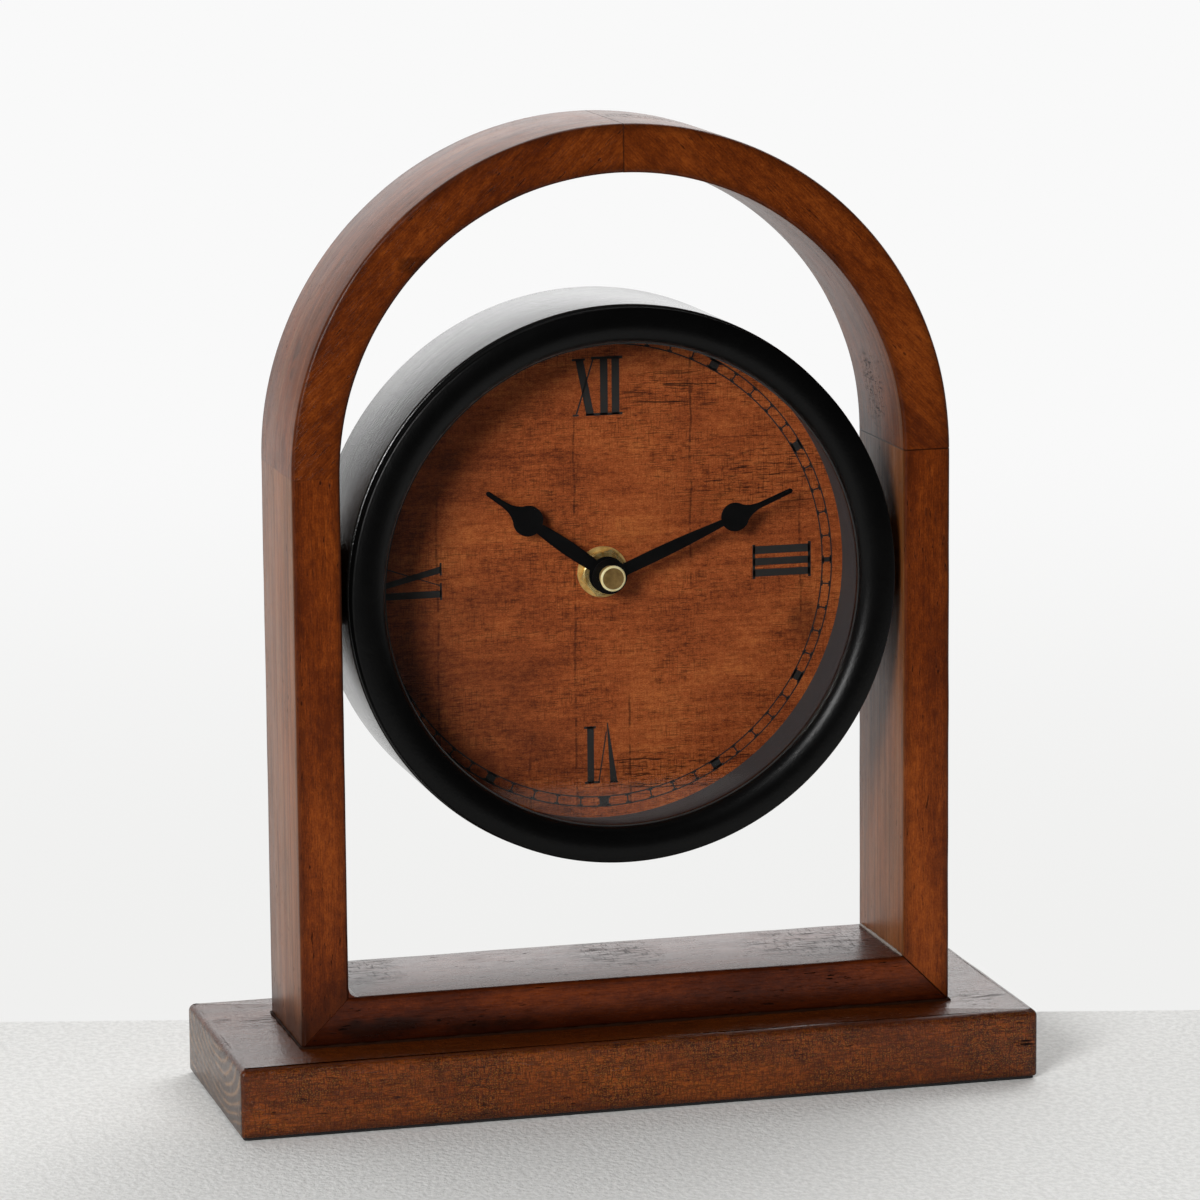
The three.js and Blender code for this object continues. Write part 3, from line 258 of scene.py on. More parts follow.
class Tree:
    """Adds nodes to a node tree, settings first and then sockets."""

    def __init__(self, node_tree):
        self.tree = node_tree
        self.tree.nodes.clear()

    def node(self, kind, settings, sockets, output=0):
        """Three numbers for a socket are a colour's screen values."""
        made = self.tree.nodes.new(kind)
        for key, value in settings.items():
            if key == "stops":
                self._set_stops(made.color_ramp, value)
            else:
                setattr(made, key, value)
        for key, value in sockets.items():
            if isinstance(value, Value):
                self.tree.links.new(value.socket, made.inputs[key])
                continue
            if isinstance(value, tuple) and len(value) == 3:
                value = srgb(*value)
            made.inputs[key].default_value = value
        return Value(self, made.outputs[output]) if made.outputs else None

    @staticmethod
    def _set_stops(ramp, stops):
        while len(ramp.elements) < len(stops):
            ramp.elements.new(1.0)
        for element, (position, colour) in zip(ramp.elements, stops):
            element.position = position
            element.color = srgb(*colour)

    def parts(self, kind):
        """The X, Y and Z of a kind of texture coordinate."""
        where = self.node("ShaderNodeTexCoord", {}, {}, kind)
        return [self.node("ShaderNodeSeparateXYZ", {}, {"Vector": where}, axis) for axis in "XYZ"]

    def join(self, x, y, z):
        return self.node("ShaderNodeCombineXYZ", {}, {"X": x, "Y": y, "Z": z})

    def noise(self, place, detail=2.0, roughness=0.5, warp=0.0):
        sockets = {"Vector": place, "Scale": 1.0, "Detail": detail}
        sockets.update({"Roughness": roughness, "Distortion": warp})
        return self.node("ShaderNodeTexNoise", {}, sockets)

    def mix(self, amount, first, second, blend="MIX"):
        settings = {"data_type": "RGBA", "blend_type": blend}
        return self.node("ShaderNodeMix", settings, {0: amount, 6: first, 7: second}, 2)

    def ramp(self, amount, *stops):
        return self.node("ShaderNodeValToRGB", {"stops": stops}, {"Fac": amount})


STAIN_DARK = (44, 16, 5)
STAIN_DEEP = (80, 32, 9)
STAIN_MID = (108, 48, 14)
STAIN_LIGHT = (142, 70, 24)
SIDE_PALE_AND_SHEEN = (140, 96, 58)
RUBBED_PALE = (190, 160, 130)
GRIME = (18, 8, 5)


class Finish(Tree):
    """A surface finish, made in the object's own millimetres."""

    def __init__(self, name):
        self.material = bpy.data.materials.new(name)
        self.material.use_nodes = True
        super().__init__(self.material.node_tree)
        self.place = [part * (1 / MM) for part in self.parts("Object")]

    def fleck(self, across, deep, high, detail=3.0, roughness=0.6):
        """Noise with so many features a millimetre along each axis."""
        x, y, z = self.place
        return self.noise(self.join(x * across, y * deep, z * high), detail, roughness)

    def bump(self, height, distance):
        return self.node("ShaderNodeBump", {}, {"Height": height, "Distance": distance * MM, "Strength": 1.0})

    def blended(self, amount, first, second):
        return self.node("ShaderNodeMixShader", {}, {0: amount, 1: first, 2: second})

    def done(self, shader):
        self.node("ShaderNodeOutputMaterial", {}, {"Surface": shader})
        return self.material

    def surface(self, colour, roughness, height, relief, level=0.5, metallic=0.0, bare=None):
        """bare: how far, from 0 to 1, dull grime shows through at a point."""
        sockets = {"Base Color": colour, "Roughness": roughness, "Normal": self.bump(height, relief)}
        sockets.update({"Specular IOR Level": level, "Metallic": metallic})
        shader = self.node("ShaderNodeBsdfPrincipled", {}, sockets)
        if bare is not None:
            dull = self.node("ShaderNodeBsdfDiffuse", {}, {"Color": GRIME})
            shader = self.blended(bare, shader, dull)
        return self.done(shader)


# Wood finishes


def blots(place, spots):
    """1 at the centre of each spot, falling to 0 at its reach along each axis."""
    found = []
    for spot in spots:
        steps = [(axis - middle) * (1 / size) for axis, middle, size in zip(place, spot, spot[3:])]
        found.append(sum(step * step for step in steps).eased(1.0, 0.1))
    return highest(found)


class Wood(Finish):
    """Stained and waxed softwood, with the marks that one length of it carries."""

    def __init__(self, name, run, seed, tone, near_edge):
        super().__init__(name)
        x, y, z = self.place
        if run == "up":
            self.along, self.across = z, x
        elif run == "level":
            self.along, self.across = x, z
        else:
            self.along, self.across = (z - abs(x)) * ROOT_HALF, (z + abs(x)) * ROOT_HALF
        self.seed = seed
        self.tone = (*tone, 1.0)
        self.distance = near_edge(x, y, z)
        self.bare = x * 0.0
        self.stain()

    def mark(self, along, across, shift=0.0, detail=3.0, warp=0.0):
        """Noise with so many features a millimetre along the grain and across it."""
        run = self.along * along + (self.seed + shift)
        where = self.join(run, self.across * across, self.place[1] * across)
        return self.noise(where, detail, 0.6, warp)

    def paint(self, amount, colour):
        self.colour = self.mix(amount, self.colour, colour)
        return self

    def scar(self, marks, amount, depth):
        """Dull dark marks, sunk in the surface."""
        self.bare = self.bare.most(marks * amount)
        self.height = self.height - marks * depth
        return self.paint(marks * amount, GRIME)

    def stain(self):
        self.clouds = self.mark(0.02, 0.06)
        mottle = self.mark(0.3, 0.5, 5.0, 4.0)
        streaks = self.mark(0.02, 0.9, 7.0, 3.0, 0.3)
        fibres = self.mark(0.3, 3.4, 3.0)
        self.speckle = self.mark(1.6, 2.2, 11.0)
        blend = self.clouds * 0.4 + mottle * 0.24 + streaks * 0.14 + fibres * 0.24 + self.speckle * 0.22
        self.colour = self.ramp(blend, (0.52, STAIN_DEEP), (0.62, STAIN_MID), (0.74, STAIN_LIGHT))
        pores = self.mark(0.16, 3.0, 23.0, 2.0).eased(0.56, 0.68)
        self.paint(pores * 0.28, GRIME)
        self.height = fibres * 0.3 - pores * 0.5

    def pale_sides_colour_and_sheen(self, amount):
        """Paler sides, partly the wood's own paler colour and partly painted sheen, with straight dark lines.
        """
        x, y, z = self.place
        side = abs(self.parts("Normal")[1]).eased(0.8, 0.3)
        # paler colour on the sides: partly the wood's own, partly painted sheen
        self.paint(side * amount, SIDE_PALE_AND_SHEEN)
        lines = self.noise(self.join(x * 0.016 + self.seed, y * 0.55, z * 0.016), 6.0, 0.6, 0.3)
        self.paint(side * lines.eased(0.5, 0.64) * 0.36, STAIN_DARK)
        self.height = self.height + side * lines * 0.5
        return self.paint(side * lines.eased(0.5, 0.36) * 0.1, RUBBED_PALE)

    def darken_tops_stain_and_shade(self, amount):
        # Upward faces darker: partly a darker stain, partly painted shade and painted reflection of the dark
        # parts above them.
        return self.paint(self.parts("Normal")[2].eased(0.5, 0.95) * amount, STAIN_DARK)

    def hatch(self, amount):
        """A fine woven look of dark and pale lines, in patches."""
        patch = self.mark(0.04, 0.08, 31.0).eased(0.4, 0.6)
        level = self.mark(0.4, 2.4, 41.0, 2.0).eased(0.49, 0.57)
        upright = self.mark(2.3, 0.36, 43.0, 2.0).eased(0.50, 0.58)
        woven = level.most(upright)
        self.paint(woven * (patch * 0.2 + 0.55) * amount, GRIME)
        pale = self.mark(2.2, 2.8, 47.0, 2.0).eased(0.53, 0.66)
        self.height = self.height - woven * 0.9
        return self.paint(pale * (patch * 0.3 + 0.22), (154, 104, 44))

    def pock(self, amount):
        """Small pits, each in its own cell, and short dark dashes."""
        where = self.join(self.along * 0.1 + self.seed, self.across * 0.22, self.place[1] * 0.22)
        cells = self.node("ShaderNodeTexVoronoi", {}, {"Vector": where, "Scale": 1.0}, "Distance")
        pit = cells.eased(0.085, 0.04)
        dash = self.mark(0.2, 1.3, 61.0, 2.0).eased(0.66, 0.7)
        chance = self.mark(0.03, 0.06, 59.0, 2.0).eased(0.46, 0.56)
        return self.scar(pit.most(dash) * chance, amount, 1.6)

    def score(self, *spots, amount=0.7, across=0.8):
        """Hairline cracks, and some cuts across the grain, in clusters."""
        cuts = self.mark(1.5, 0.2, 89.0, 2.0, 0.3).eased(0.59, 0.63)
        hairs = self.mark(0.1, 1.6, 91.0, 3.0, 0.9).eased(0.57, 0.61)
        return self.scar((cuts * across).most(hairs) * blots(self.place, spots), amount, 2.0)

    def smudge(self, amount, *spots):
        edge = (self.mark(0.2, 0.3, 97.0) - 0.5) * 2.0
        return self.paint((blots(self.place, spots) + edge).eased(0.1, 1.2) * amount, GRIME)

    def seam(self, gap, amount):
        return self.paint(abs(gap(*self.place)).eased(0.35, 0.05) * amount, GRIME)

    def darker_towards_foot(self, amount):
        # Darker towards the frame's foot, in the lowest few millimetres above the board.
        low = (self.place[2] + (self.clouds - 0.5) * 14).eased(BOARD_TOP + 12, BOARD_TOP)
        return self.paint(low * amount, STAIN_DARK)

    def blend_corner(self, gap, amount):
        """Stain worked over a mitre, so that the joint hardly shows."""
        ragged = gap(*self.place) + (self.clouds - 0.5) * 16 + (self.speckle - 0.5) * 6
        return self.paint(abs(ragged).eased(11.0, 0.0) * amount, STAIN_DARK)

    def saw_ends(self):
        """Growth rings on the sawn ends of the board, in nested bows that open upwards."""
        x, y, z = self.place
        bend = self.fleck(0.01, 0.03, 0.03, 1.0, 0.5) * 9.0
        rise = z - (BOARD_TOP + 3.0)
        depth = y + 4.0
        radius = (depth * depth * 0.16 + rise * rise) ** 0.5 + bend
        clear = self.fleck(0.01, 0.09, 0.2, 2.0, 0.5).eased(0.38, 0.56, 0.5, 1.0)
        rings = ((radius * 2.4).wave() * 0.5 + 0.5) ** 2.0 * clear
        fine = self.fleck(0.05, 1.1, 1.1, 3.0, 0.5)
        stops = ((0.16, (50, 31, 22)), (0.4, (80, 53, 39)), (0.8, (130, 96, 72)))
        sawn = self.ramp(rings * 0.55 + fine * 0.45, *stops)
        end = abs(self.parts("Normal")[0]).eased(0.75, 0.95)
        self.height = self.height + rings * end * 0.6
        return self.paint(end, sawn)

    def finish(self, gloss=0.25, level=0.2):
        """Darker and worn along the edges, then waxed."""
        rub = self.mark(0.08, 0.3, 67.0)
        rim = (self.distance + (rub - 0.5) * 4.0).eased(3.2, 0.2)
        self.paint(rim * 0.5, STAIN_DARK)
        chafe = (self.distance + (rub - 0.5) * 1.4).eased(0.8, 0.3)
        self.paint(chafe * self.speckle.eased(0.46, 0.6) * 0.4, GRIME)
        wax = self.mark(0.05, 0.2, 71.0)
        toned = self.mix(1.0, self.colour, self.tone, "MULTIPLY")
        return self.surface(toned, wax * 0.14 + gloss, self.height, 0.04, level, bare=self.bare)


# How far a point on a piece's face is from an edge of it


def stock_edge(off_middle, y):
    return ((OUTER - INNER) / 2 - abs(off_middle)).most(HALF_DEPTH - abs(y))


def post_edge(x, y, z):
    return stock_edge(abs(x) - MIDDLE, y)


def rail_edge(x, y, z):
    return stock_edge(z - (RAIL_TOP + RAIL_BOTTOM) / 2, y)


def arch_edge(x, y, z):
    rise = z - SPRING
    return stock_edge((x * x + rise * rise) ** 0.5 - MIDDLE, y)


def board_edge(x, y, z):
    a, b = board_high.x - abs(x), board_high.y - abs(y)
    c = (board_high.z - board_low.z) / 2 - abs(z - (board_high.z + board_low.z) / 2)
    return a.least(b).most(a.most(b).least(c))


# How far a point is from a seam


def mitre_seam(x, y, z):
    return (abs(x) + z - (OUTER + RAIL_BOTTOM)) * ROOT_HALF


def spring_seam(x, y, z):
    return z - SPRING


def post_wood(side, seed, seam_strength):
    wood = Wood(f"{side}_post_wood", "up", seed, (0.99, 0.96, 0.84), post_edge)
    wood.pale_sides_colour_and_sheen(0.4).darker_towards_foot(0.5).pock(0.5)
    wood.seam(mitre_seam, seam_strength).seam(spring_seam, seam_strength)
    if side == "left":
        wood.blend_corner(mitre_seam, 0.6)
        wood.smudge(0.6, (-84, -22, 24, 9, 6, 5), (-96, -21, 26, 3, 4, 9))
    return wood.finish(0.25, 0.12)


def arch_wood(side, seed, seam_strength):
    wood = Wood(f"{side}_arch_wood", "slanted", seed, (0.86, 0.84, 0.72), arch_edge)
    wood.pale_sides_colour_and_sheen(0.12).pock(0.4).seam(spring_seam, seam_strength).seam(lambda x, y, z: x, 0.6)
    if side == "left":
        low, high = (-92, -4.6, 211, 3, 2.5, 2.5), (-60, -22, 242, 7, 6, 3.5)
        wood.smudge(0.5, (-90, -2, 217, 5, 3.5, 4), low, high)
    else:
        wood.score((20, 4, 279, 26, 9, 4), (82, 2, 205, 5, 12, 22))
    return wood.finish(0.25, 0.14)


def rail_wood():
    wood = Wood("rail_wood", "level", 9.4, (0.58, 0.46, 0.34), rail_edge)
    wood.darken_tops_stain_and_shade(0.3).darker_towards_foot(0.7).pock(0.9)
    wood.seam(lambda x, y, z: mitre_seam(x.most(0.0), y, z), 0.7)
    wood.blend_corner(lambda x, y, z: mitre_seam(x.least(0.0), y, z), 0.4)
    wood.score((62, 4, 35, 26, 24, 3), (4, 6, 35, 16, 22, 3), (-72, 8, 35, 14, 22, 3))
    wood.smudge(0.65, (-74, -22, 25, 17, 6, 5), (-40, -22, 23, 20, 6, 3))
    return wood.finish(0.2)


def fillet_wood():
    wood = Wood("fillet_wood", "up", 12.6, (0.62, 0.52, 0.48), lambda x, y, z: x * 0.0 + 4.0)
    return wood.darken_tops_stain_and_shade(0.3).pock(0.4).finish(0.2)


def board_wood():
    wood = Wood("board_wood", "level", 41.2, (0.93, 0.88, 0.56), board_edge)
    front = wood.parts("Normal")[1].eased(-0.4, -0.8)
    wood.hatch(front * 0.6 + 0.3).pock(0.5).darken_tops_stain_and_shade(0.62)
    left, right, front = (-105, 12, 21, 13, 11, 3), (104, -22, 21, 12, 11, 3), (112, -39, 11, 6, 3, 2)
    wood.score(left, right, front, amount=0.85, across=0.0)
    return wood.saw_ends().finish(0.18, 0.28)


# Finishes of the other pieces


def dial_wood():
    """A thin printed veneer: warm, with level dark dashes and faint upright lines."""
    look = Finish("dial_veneer")
    x, y, z = look.place
    rise = z - AXIS_HEIGHT

    def mark(level, upright, shift=0.0, detail=3.0, warp=0.0):
        return look.noise(look.join(x * level + shift, y * 0.0, rise * upright), detail, 0.6, warp)

    def at(*spots):
        return blots((x, y, rise), [(a, dial_low.y, b, c, 9.0, d) for a, b, c, d in spots])

    clouds = mark(0.03, 0.045, 3.0, 4.0)
    mottle = mark(0.5, 0.9, 6.0, 4.0)
    bands = mark(0.04, 0.5, 9.0, 5.0)
    fibres = mark(1.8, 4.2, 13.0)
    stops = ((0.49, (112, 50, 22)), (0.60, (170, 84, 40)), (0.71, (206, 116, 58)))
    colour = look.ramp(clouds * 0.3 + mottle * 0.28 + bands * 0.22 + fibres * 0.4, *stops)
    rough_parts = at((50, 27, 34, 14), (23, 52, 22, 8), (22, -60, 50, 9))
    wear = (mark(0.035, 0.05, 19.0, 2.0).eased(0.38, 0.6) * 0.5 + 0.3).most(rough_parts)
    dashes = mark(0.22, 3.0, 29.0, 2.0).eased(0.51, 0.62)
    uprights = mark(2.8, 0.2, 37.0, 2.0).eased(0.52, 0.63)
    cracks = mark(0.06, 1.1, 53.0, 4.0, 0.8).eased(0.57, 0.64)

    # Lines ruled down the dial, stains, and a painted shadow of the bezel down the left side
    drift = (mark(0.0, 0.05, 61.0) - 0.5) * 2.0
    broken = mark(0.02, 0.22, 67.0).eased(0.38, 0.56)
    ruled = highest(
        abs(x + drift - across).eased(0.5, 0.12)
        * rise.eased(low, low + 6)
        * rise.eased(high, high - 6)
        for across, low, high in RULED_LINES
    )
    stains = at((61, -18, 7, 8), (-62, -34, 9, 22), (-66, 12, 9, 30))
    # Painted shadow of the bezel: darker towards the left of the dial.
    painted_bezel_shadow = (x + rise * 0.3 + (clouds - 0.5) * 60).eased(-12, -66)
    for amount, dark in (
        (dashes * wear * 0.72, (30, 13, 7)),
        (uprights * wear * 0.5, (40, 18, 10)),
        (cracks * (rough_parts * 0.85 + 0.08), (20, 9, 6)),
        (ruled * broken * 0.6, (34, 16, 10)),
        (stains * 0.4, (44, 20, 11)),
        (painted_bezel_shadow * 0.48, (60, 29, 20)),
    ):
        colour = look.mix(amount, colour, dark)
    height = fibres * 0.3 - dashes * 0.6 - cracks * 0.4
    return look.surface(colour, clouds * 0.15 + 0.42, height, 0.03, level=0.15)


def dial_ink():
    look = Finish("dial_ink")
    x, y, z = look.place
    level = look.fleck(0.4, 0.0, 1.8)
    upright = look.noise(look.join(x * 1.8 + 7.0, y * 0.0, z * 0.3), 3.0, 0.6)
    rub = level.most(upright).eased(0.6, 0.74, 0.0, 0.6)
    colour = look.mix(rub, (48, 47, 46), (78, 46, 30))
    return look.surface(colour, level * 0.2 + 0.45, level, 0.01, level=0.15)


def brushed_black(name, low, high, streak, gloss, level, relief=0.1):
    """Black paint on turned wood, with fine brush marks round it."""
    look = Finish(name)
    x, y, z = look.place
    turn = look.node("ShaderNodeMath", {"operation": "ARCTAN2"}, {0: x, 1: z - AXIS_HEIGHT})
    marks = look.noise(look.join(turn * 3.0, y * 0.4 - turn * 5.0, 1.0), 5.0, 0.75, 0.2)
    grain = look.fleck(1.4, 1.4, 1.4)
    colour = look.mix(marks * 0.6 + grain * 0.4, low, high)
    return look.surface(colour, marks * streak + gloss, marks * 0.7 + grain * 0.6, relief, level)


def inner_wall():
    look = Finish("drum_lining")
    grain = look.fleck(0.8, 3.0, 0.8)
    colour = look.mix(grain, (46, 48, 50), (82, 84, 87))
    return look.surface(colour, grain * 0.2 + 0.6, grain, 0.05)


def turned_metal(name, dark, light, gloss, metallic=1.0):
    """Turned metal: fine rings round the clock's axis and a little tarnish."""
    look = Finish(name)
    x, y, z = look.place
    rise = z - AXIS_HEIGHT
    radius = (x * x + rise * rise) ** 0.5
    rings = look.noise(look.join(radius * 7.0, y * 7.0, 1.0), 2.0)
    tarnish = look.fleck(0.5, 0.5, 0.5)
    colour = look.mix(tarnish.eased(0.3, 0.75), light, dark)
    roughness = rings * 0.12 + tarnish * 0.1 + gloss
    return look.surface(colour, roughness, rings, 0.008, metallic=metallic)


def cast(name, dark, light, gloss, scale, relief=0.03, level=0.5):
    """Moulded or cast stock: a fine even mottle in colour, gloss and relief."""
    look = Finish(name)
    fine = look.fleck(scale, scale, scale)
    broad = look.fleck(0.12, 0.12, 0.12, 2.0, 0.5)
    colour = look.mix(fine * 0.6 + broad * 0.4, dark, light)
    return look.surface(colour, fine * 0.16 + broad * 0.08 + gloss, fine, relief, level)


def wound_wire():
    look = Finish("wound_wire")
    turns = (look.place[0] * 28.0).wave() * 0.5 + 0.5
    colour = look.mix(turns, (96, 46, 22), (196, 112, 62))
    return look.surface(colour, turns * 0.1 + 0.3, turns, 0.06, metallic=1.0)


def circuit_lacquer():
    look = Finish("circuit_lacquer")
    tracks = (look.place[0] * 2.4).wave() * (look.place[2] * 3.1).wave()
    mottle = look.fleck(1.0, 1.0, 1.0, 2.0, 0.5)
    colour = look.mix(tracks.eased(0.35, 0.45), (30, 74, 46), (52, 104, 62))
    return look.surface(colour, mottle * 0.2 + 0.3, tracks, 0.02)


def battery_jacket():
    """A plain two-tone cell: a dark sleeve with a copper-coloured positive end."""
    look = Finish("battery_jacket")
    x = look.place[0]
    scuff = look.fleck(0.5, 2.0, 2.0)
    body = look.mix(scuff, (30, 32, 35), (48, 51, 55))
    crown = look.mix(scuff, (150, 92, 52), (184, 122, 76))
    tin = look.mix(scuff, (150, 152, 154), (196, 198, 200))
    sleeve = look.mix(x.eased(10.2, 10.4), body, crown)
    ends = x.eased(22.6, 22.7).most(x.eased(-24.6, -24.7))
    colour = look.mix(ends, sleeve, tin)
    return look.surface(colour, scuff * 0.15 + 0.26, scuff, 0.01, metallic=ends * 0.9)


def clear_glass():
    look = Finish("clear_glass")
    sheen = look.node("ShaderNodeFresnel", {}, {"IOR": 1.45})
    smear = look.fleck(MM, MM, MM, 2.0, 0.5)
    pane = look.node("ShaderNodeBsdfTransparent", {}, {"Color": (0.985, 0.99, 0.988, 1.0)})
    shine = look.node("ShaderNodeBsdfGlossy", {}, {"Roughness": 0.04})
    return look.done(look.blended(sheen * (smear * 0.1 + 0.45), pane, shine))


FINISHES = {
    "stained_wood": post_wood("spare", 2.0, 0.0),
    "dowel_wood": cast("dowel_wood", (150, 108, 64), (196, 152, 100), 0.7, 2.5),
    "black_wood": brushed_black("black_paint", (7, 7, 7), (26, 26, 25), 0.22, 0.04, 0.39, 0.14),
    "foot_pad": cast("foot_pad", (9, 9, 10), (24, 24, 25), 0.8, 2.2, 0.15),
    "dial_print": dial_wood(),
    "glass": clear_glass(),
    "black_metal": cast("black_enamel", (3, 3, 4), (8, 8, 9), 0.36, 2.4, 0.006, 0.12),
    "brass": turned_metal("polished_brass", (206, 160, 84), (250, 214, 138), 0.22, 0.4),
    "steel": turned_metal("bright_steel", (120, 121, 123), (184, 186, 188), 0.24),
    "copper": wound_wire(),
    "black_plastic": cast("black_plastic", (17, 18, 19), (31, 32, 34), 0.42, 3.0, 0.02),
    "white_plastic": cast("white_plastic", (206, 203, 194), (226, 223, 215), 0.38, 2.0, 0.01),
    "rubber": cast("rubber", (18, 18, 19), (32, 32, 33), 0.75, 2.6, 0.03),
    "circuit": circuit_lacquer(),
    "battery": battery_jacket(),
}
DIAL_INK = dial_ink()
DRUM_LINING = inner_wall()
# Matte near-black for the bezel's outer side: painted shade of the groove between bezel and drum.
GROOVE_PAINTED_SHADE = cast("groove_painted_shade", (2, 2, 2), (6, 6, 6), 0.7, 0.8, 0.02, 0.02)
# Lighter grey for the bezel's inner lip: a painted highlight line.
LIP_PAINTED_HIGHLIGHT = cast("lip_painted_highlight", (22, 22, 22), (64, 63, 62), 0.4, 0.8, 0.02, 0.2)
BEZEL_BLACK = brushed_black("bezel_paint", (2, 2, 2), (6, 6, 6), 0.12, 0.25, 0.15)
NUT_BRASS = turned_metal("nut_plating", (196, 150, 76), (255, 228, 156), 0.16, 0.75)
# The cap nut's face and rim: brass in a shaded and a lit copy, that is painted shade and a painted highlight.
CAP_FACE_PAINTED_SHADE = turned_metal("cap_face_painted_shade", (116, 88, 42), (148, 118, 64), 0.42, 0.3)
CAP_RIM_PAINTED_HIGHLIGHT = turned_metal("cap_rim_painted_highlight", (255, 232, 160), (255, 246, 200), 0.4, 0.0)
GLUE = cast("set_glue", (12, 7, 4), (44, 22, 12), 0.5, 0.9, 0.16, 0.03)
PALE_GLUE = cast("pale_glue", (60, 44, 36), (150, 138, 128), 0.3, 0.6, 0.12)


# Mesh tools


def mesh_of(name, points, faces):
    """A mesh in metres from points in millimetres."""
    mesh = bpy.data.meshes.new(name)
    mesh.from_pydata([tuple(c * MM for c in p) for p in points], [], faces)
    return mesh


def dressed(thing, slot, finish=None, body="stand", smooth=38.0, replaces=None):
    """Smooths a piece, gives it its finish or its slot's finish, and lets it ride on its body."""
    thing.data.shade_smooth()
    thing.data.set_sharp_from_angle(angle=math.radians(smooth))
    thing.data.materials.clear()
    thing.data.materials.append(finish or FINISHES[slot])
    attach(thing, body)
    if replaces:
        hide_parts(replaces)
    return thing


def made(name, shape, slot, **more):
    """One piece from its points and faces, without doubles."""
    mesh = mesh_of(name, *shape)
    tidy = bmesh.new()
    tidy.from_mesh(mesh)
    bmesh.ops.remove_doubles(tidy, verts=tidy.verts, dist=0.002 * MM)
    bmesh.ops.dissolve_degenerate(tidy, edges=tidy.edges, dist=0.0005 * MM)
    bmesh.ops.recalc_face_normals(tidy, faces=tidy.faces)
    tidy.to_mesh(mesh)
    tidy.free()
    return dressed(linked(name, mesh), slot, **more)


def skinned(rings, closed=False):
    """Faces between rings of as many points each, with ends capped unless closed."""
    count = len(rings[0])
    points = [point for ring in rings for point in ring]
    faces = []
    last = len(rings) if closed else len(rings) - 1
    for i in range(last):
        here = i * count
        there = ((i + 1) % len(rings)) * count
        for j in range(count):
            k = (j + 1) % count
            faces.append((here + j, here + k, there + k, there + j))
    if not closed:
        faces.append(tuple(range(count)))
        faces.append(tuple(range((len(rings) - 1) * count, len(rings) * count)))
    return points, faces


def circle(steps):
    """The (cosine, sine) pairs of a full turn."""
    turns = [2 * math.pi * i / steps for i in range(steps)]
    return [(math.cos(turn), math.sin(turn)) for turn in turns]


def on_axis(across, y, up):
    return (across, y, AXIS_HEIGHT + up)


def about_node(node, start=0.0, sign=1):
    """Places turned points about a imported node's own axis, along X."""
    low, high = span(node)
    y, z = (low.y + high.y) / 2, (low.z + high.z) / 2
    return lambda across, reach, up: (start + sign * reach, y + across, z + up)


def turned(name, profile, slot, steps, place=on_axis, **more):
    """A closed profile of (radius, reach) pairs, turned about the axis that place sets."""
    rings = [[place(r * c, reach, r * s) for r, reach in profile] for c, s in circle(steps)]
    return made(name, skinned(rings, closed=True), slot, **more)


def arc(centre, radius, start, end, steps):
    """Points on an arc, from a start to an end in degrees."""
    turns = [math.radians(start + (end - start) * i / steps) for i in range(steps + 1)]
    return [(centre[0] + radius * math.cos(t), centre[1] + radius * math.sin(t)) for t in turns]


def split(outline, step):
    """A closed outline with its long sides split every step millimetres."""
    points = []
    for (x0, y0), (x1, y1) in zip(outline, outline[1:] + outline[:1]):
        count = max(1, round(math.hypot(x1 - x0, y1 - y0) / step))
        points += [(x0 + (x1 - x0) * i / count, y0 + (y1 - y0) * i / count) for i in range(count)]
    return points


def wobble(a, b=0.0, c=0.0):
    return noise.noise(Vector((a, b, c)))


def refinished(thing, finishes, chosen):
    """Adds finishes. chosen gives a face's number among them all, from its radius and y."""
    for finish in finishes:
        thing.data.materials.append(finish)
    for polygon in thing.data.polygons:
        x, y, z = (c / MM for c in polygon.center)
        polygon.material_index = chosen(math.hypot(x, z - AXIS_HEIGHT), y)


# Wooden frame: each side's name, its sign along X, its seams' strength and its chamfer

SIDES = (("left", -1, 0.12, TIGHT_SEAM), ("right", 1, 0.75, SEAM_CHAMFER))
POST_SEEDS = {"left": 3.1, "right": 17.7}
ARCH_SEEDS = {"left": 5.8, "right": 29.3}


def stock_section(seed, along, inset):
    """The stock's section as (across, y) pairs, its edges rounded unevenly as by hand."""
    low, high = INNER + inset, OUTER - inset
    back = HALF_DEPTH - inset
    corners = ((high, -back, -1, 1), (high, back, -1, -1), (low, back, 1, -1), (low, -back, 1, 1))
    section = []
    for i, (across, y, inward, up) in enumerate(corners):
        radius = STOCK_EDGE * (1.0 + STOCK_WEAR * wobble(along * 0.06, seed, i * 5.3))
        start = 90 * i - 90
        section += arc((across + inward * radius, y + up * radius), radius, start, start + 90, 5)
    return section


def stock(name, seed, path, place, finish, node):
    """A length of stock: place maps (across, y, along, lean) of each ring to a point."""
    rings = []
    for along, inset, lean in path:
        section = stock_section(seed, along, inset)
        rings.append([place(across, y, along, lean) for across, y in section])
    made(name, skinned(rings), "stained_wood", finish=finish, smooth=32.0, replaces=node)


def stock_path(start, end, step, lean, chamfers):
    """Rings from start to end with a tiny chamfer at both ends. lean mitres an end."""
    count = max(2, round((end - start) / step))
    first, last = chamfers
    path = [(start, first, lean[0]), (start + first, 0.0, lean[0])]
    path += [(start + (end - start) * i / count, 0.0, 0.0) for i in range(1, count)]
    return path + [(end - last, 0.0, lean[1]), (end, last, lean[1])]


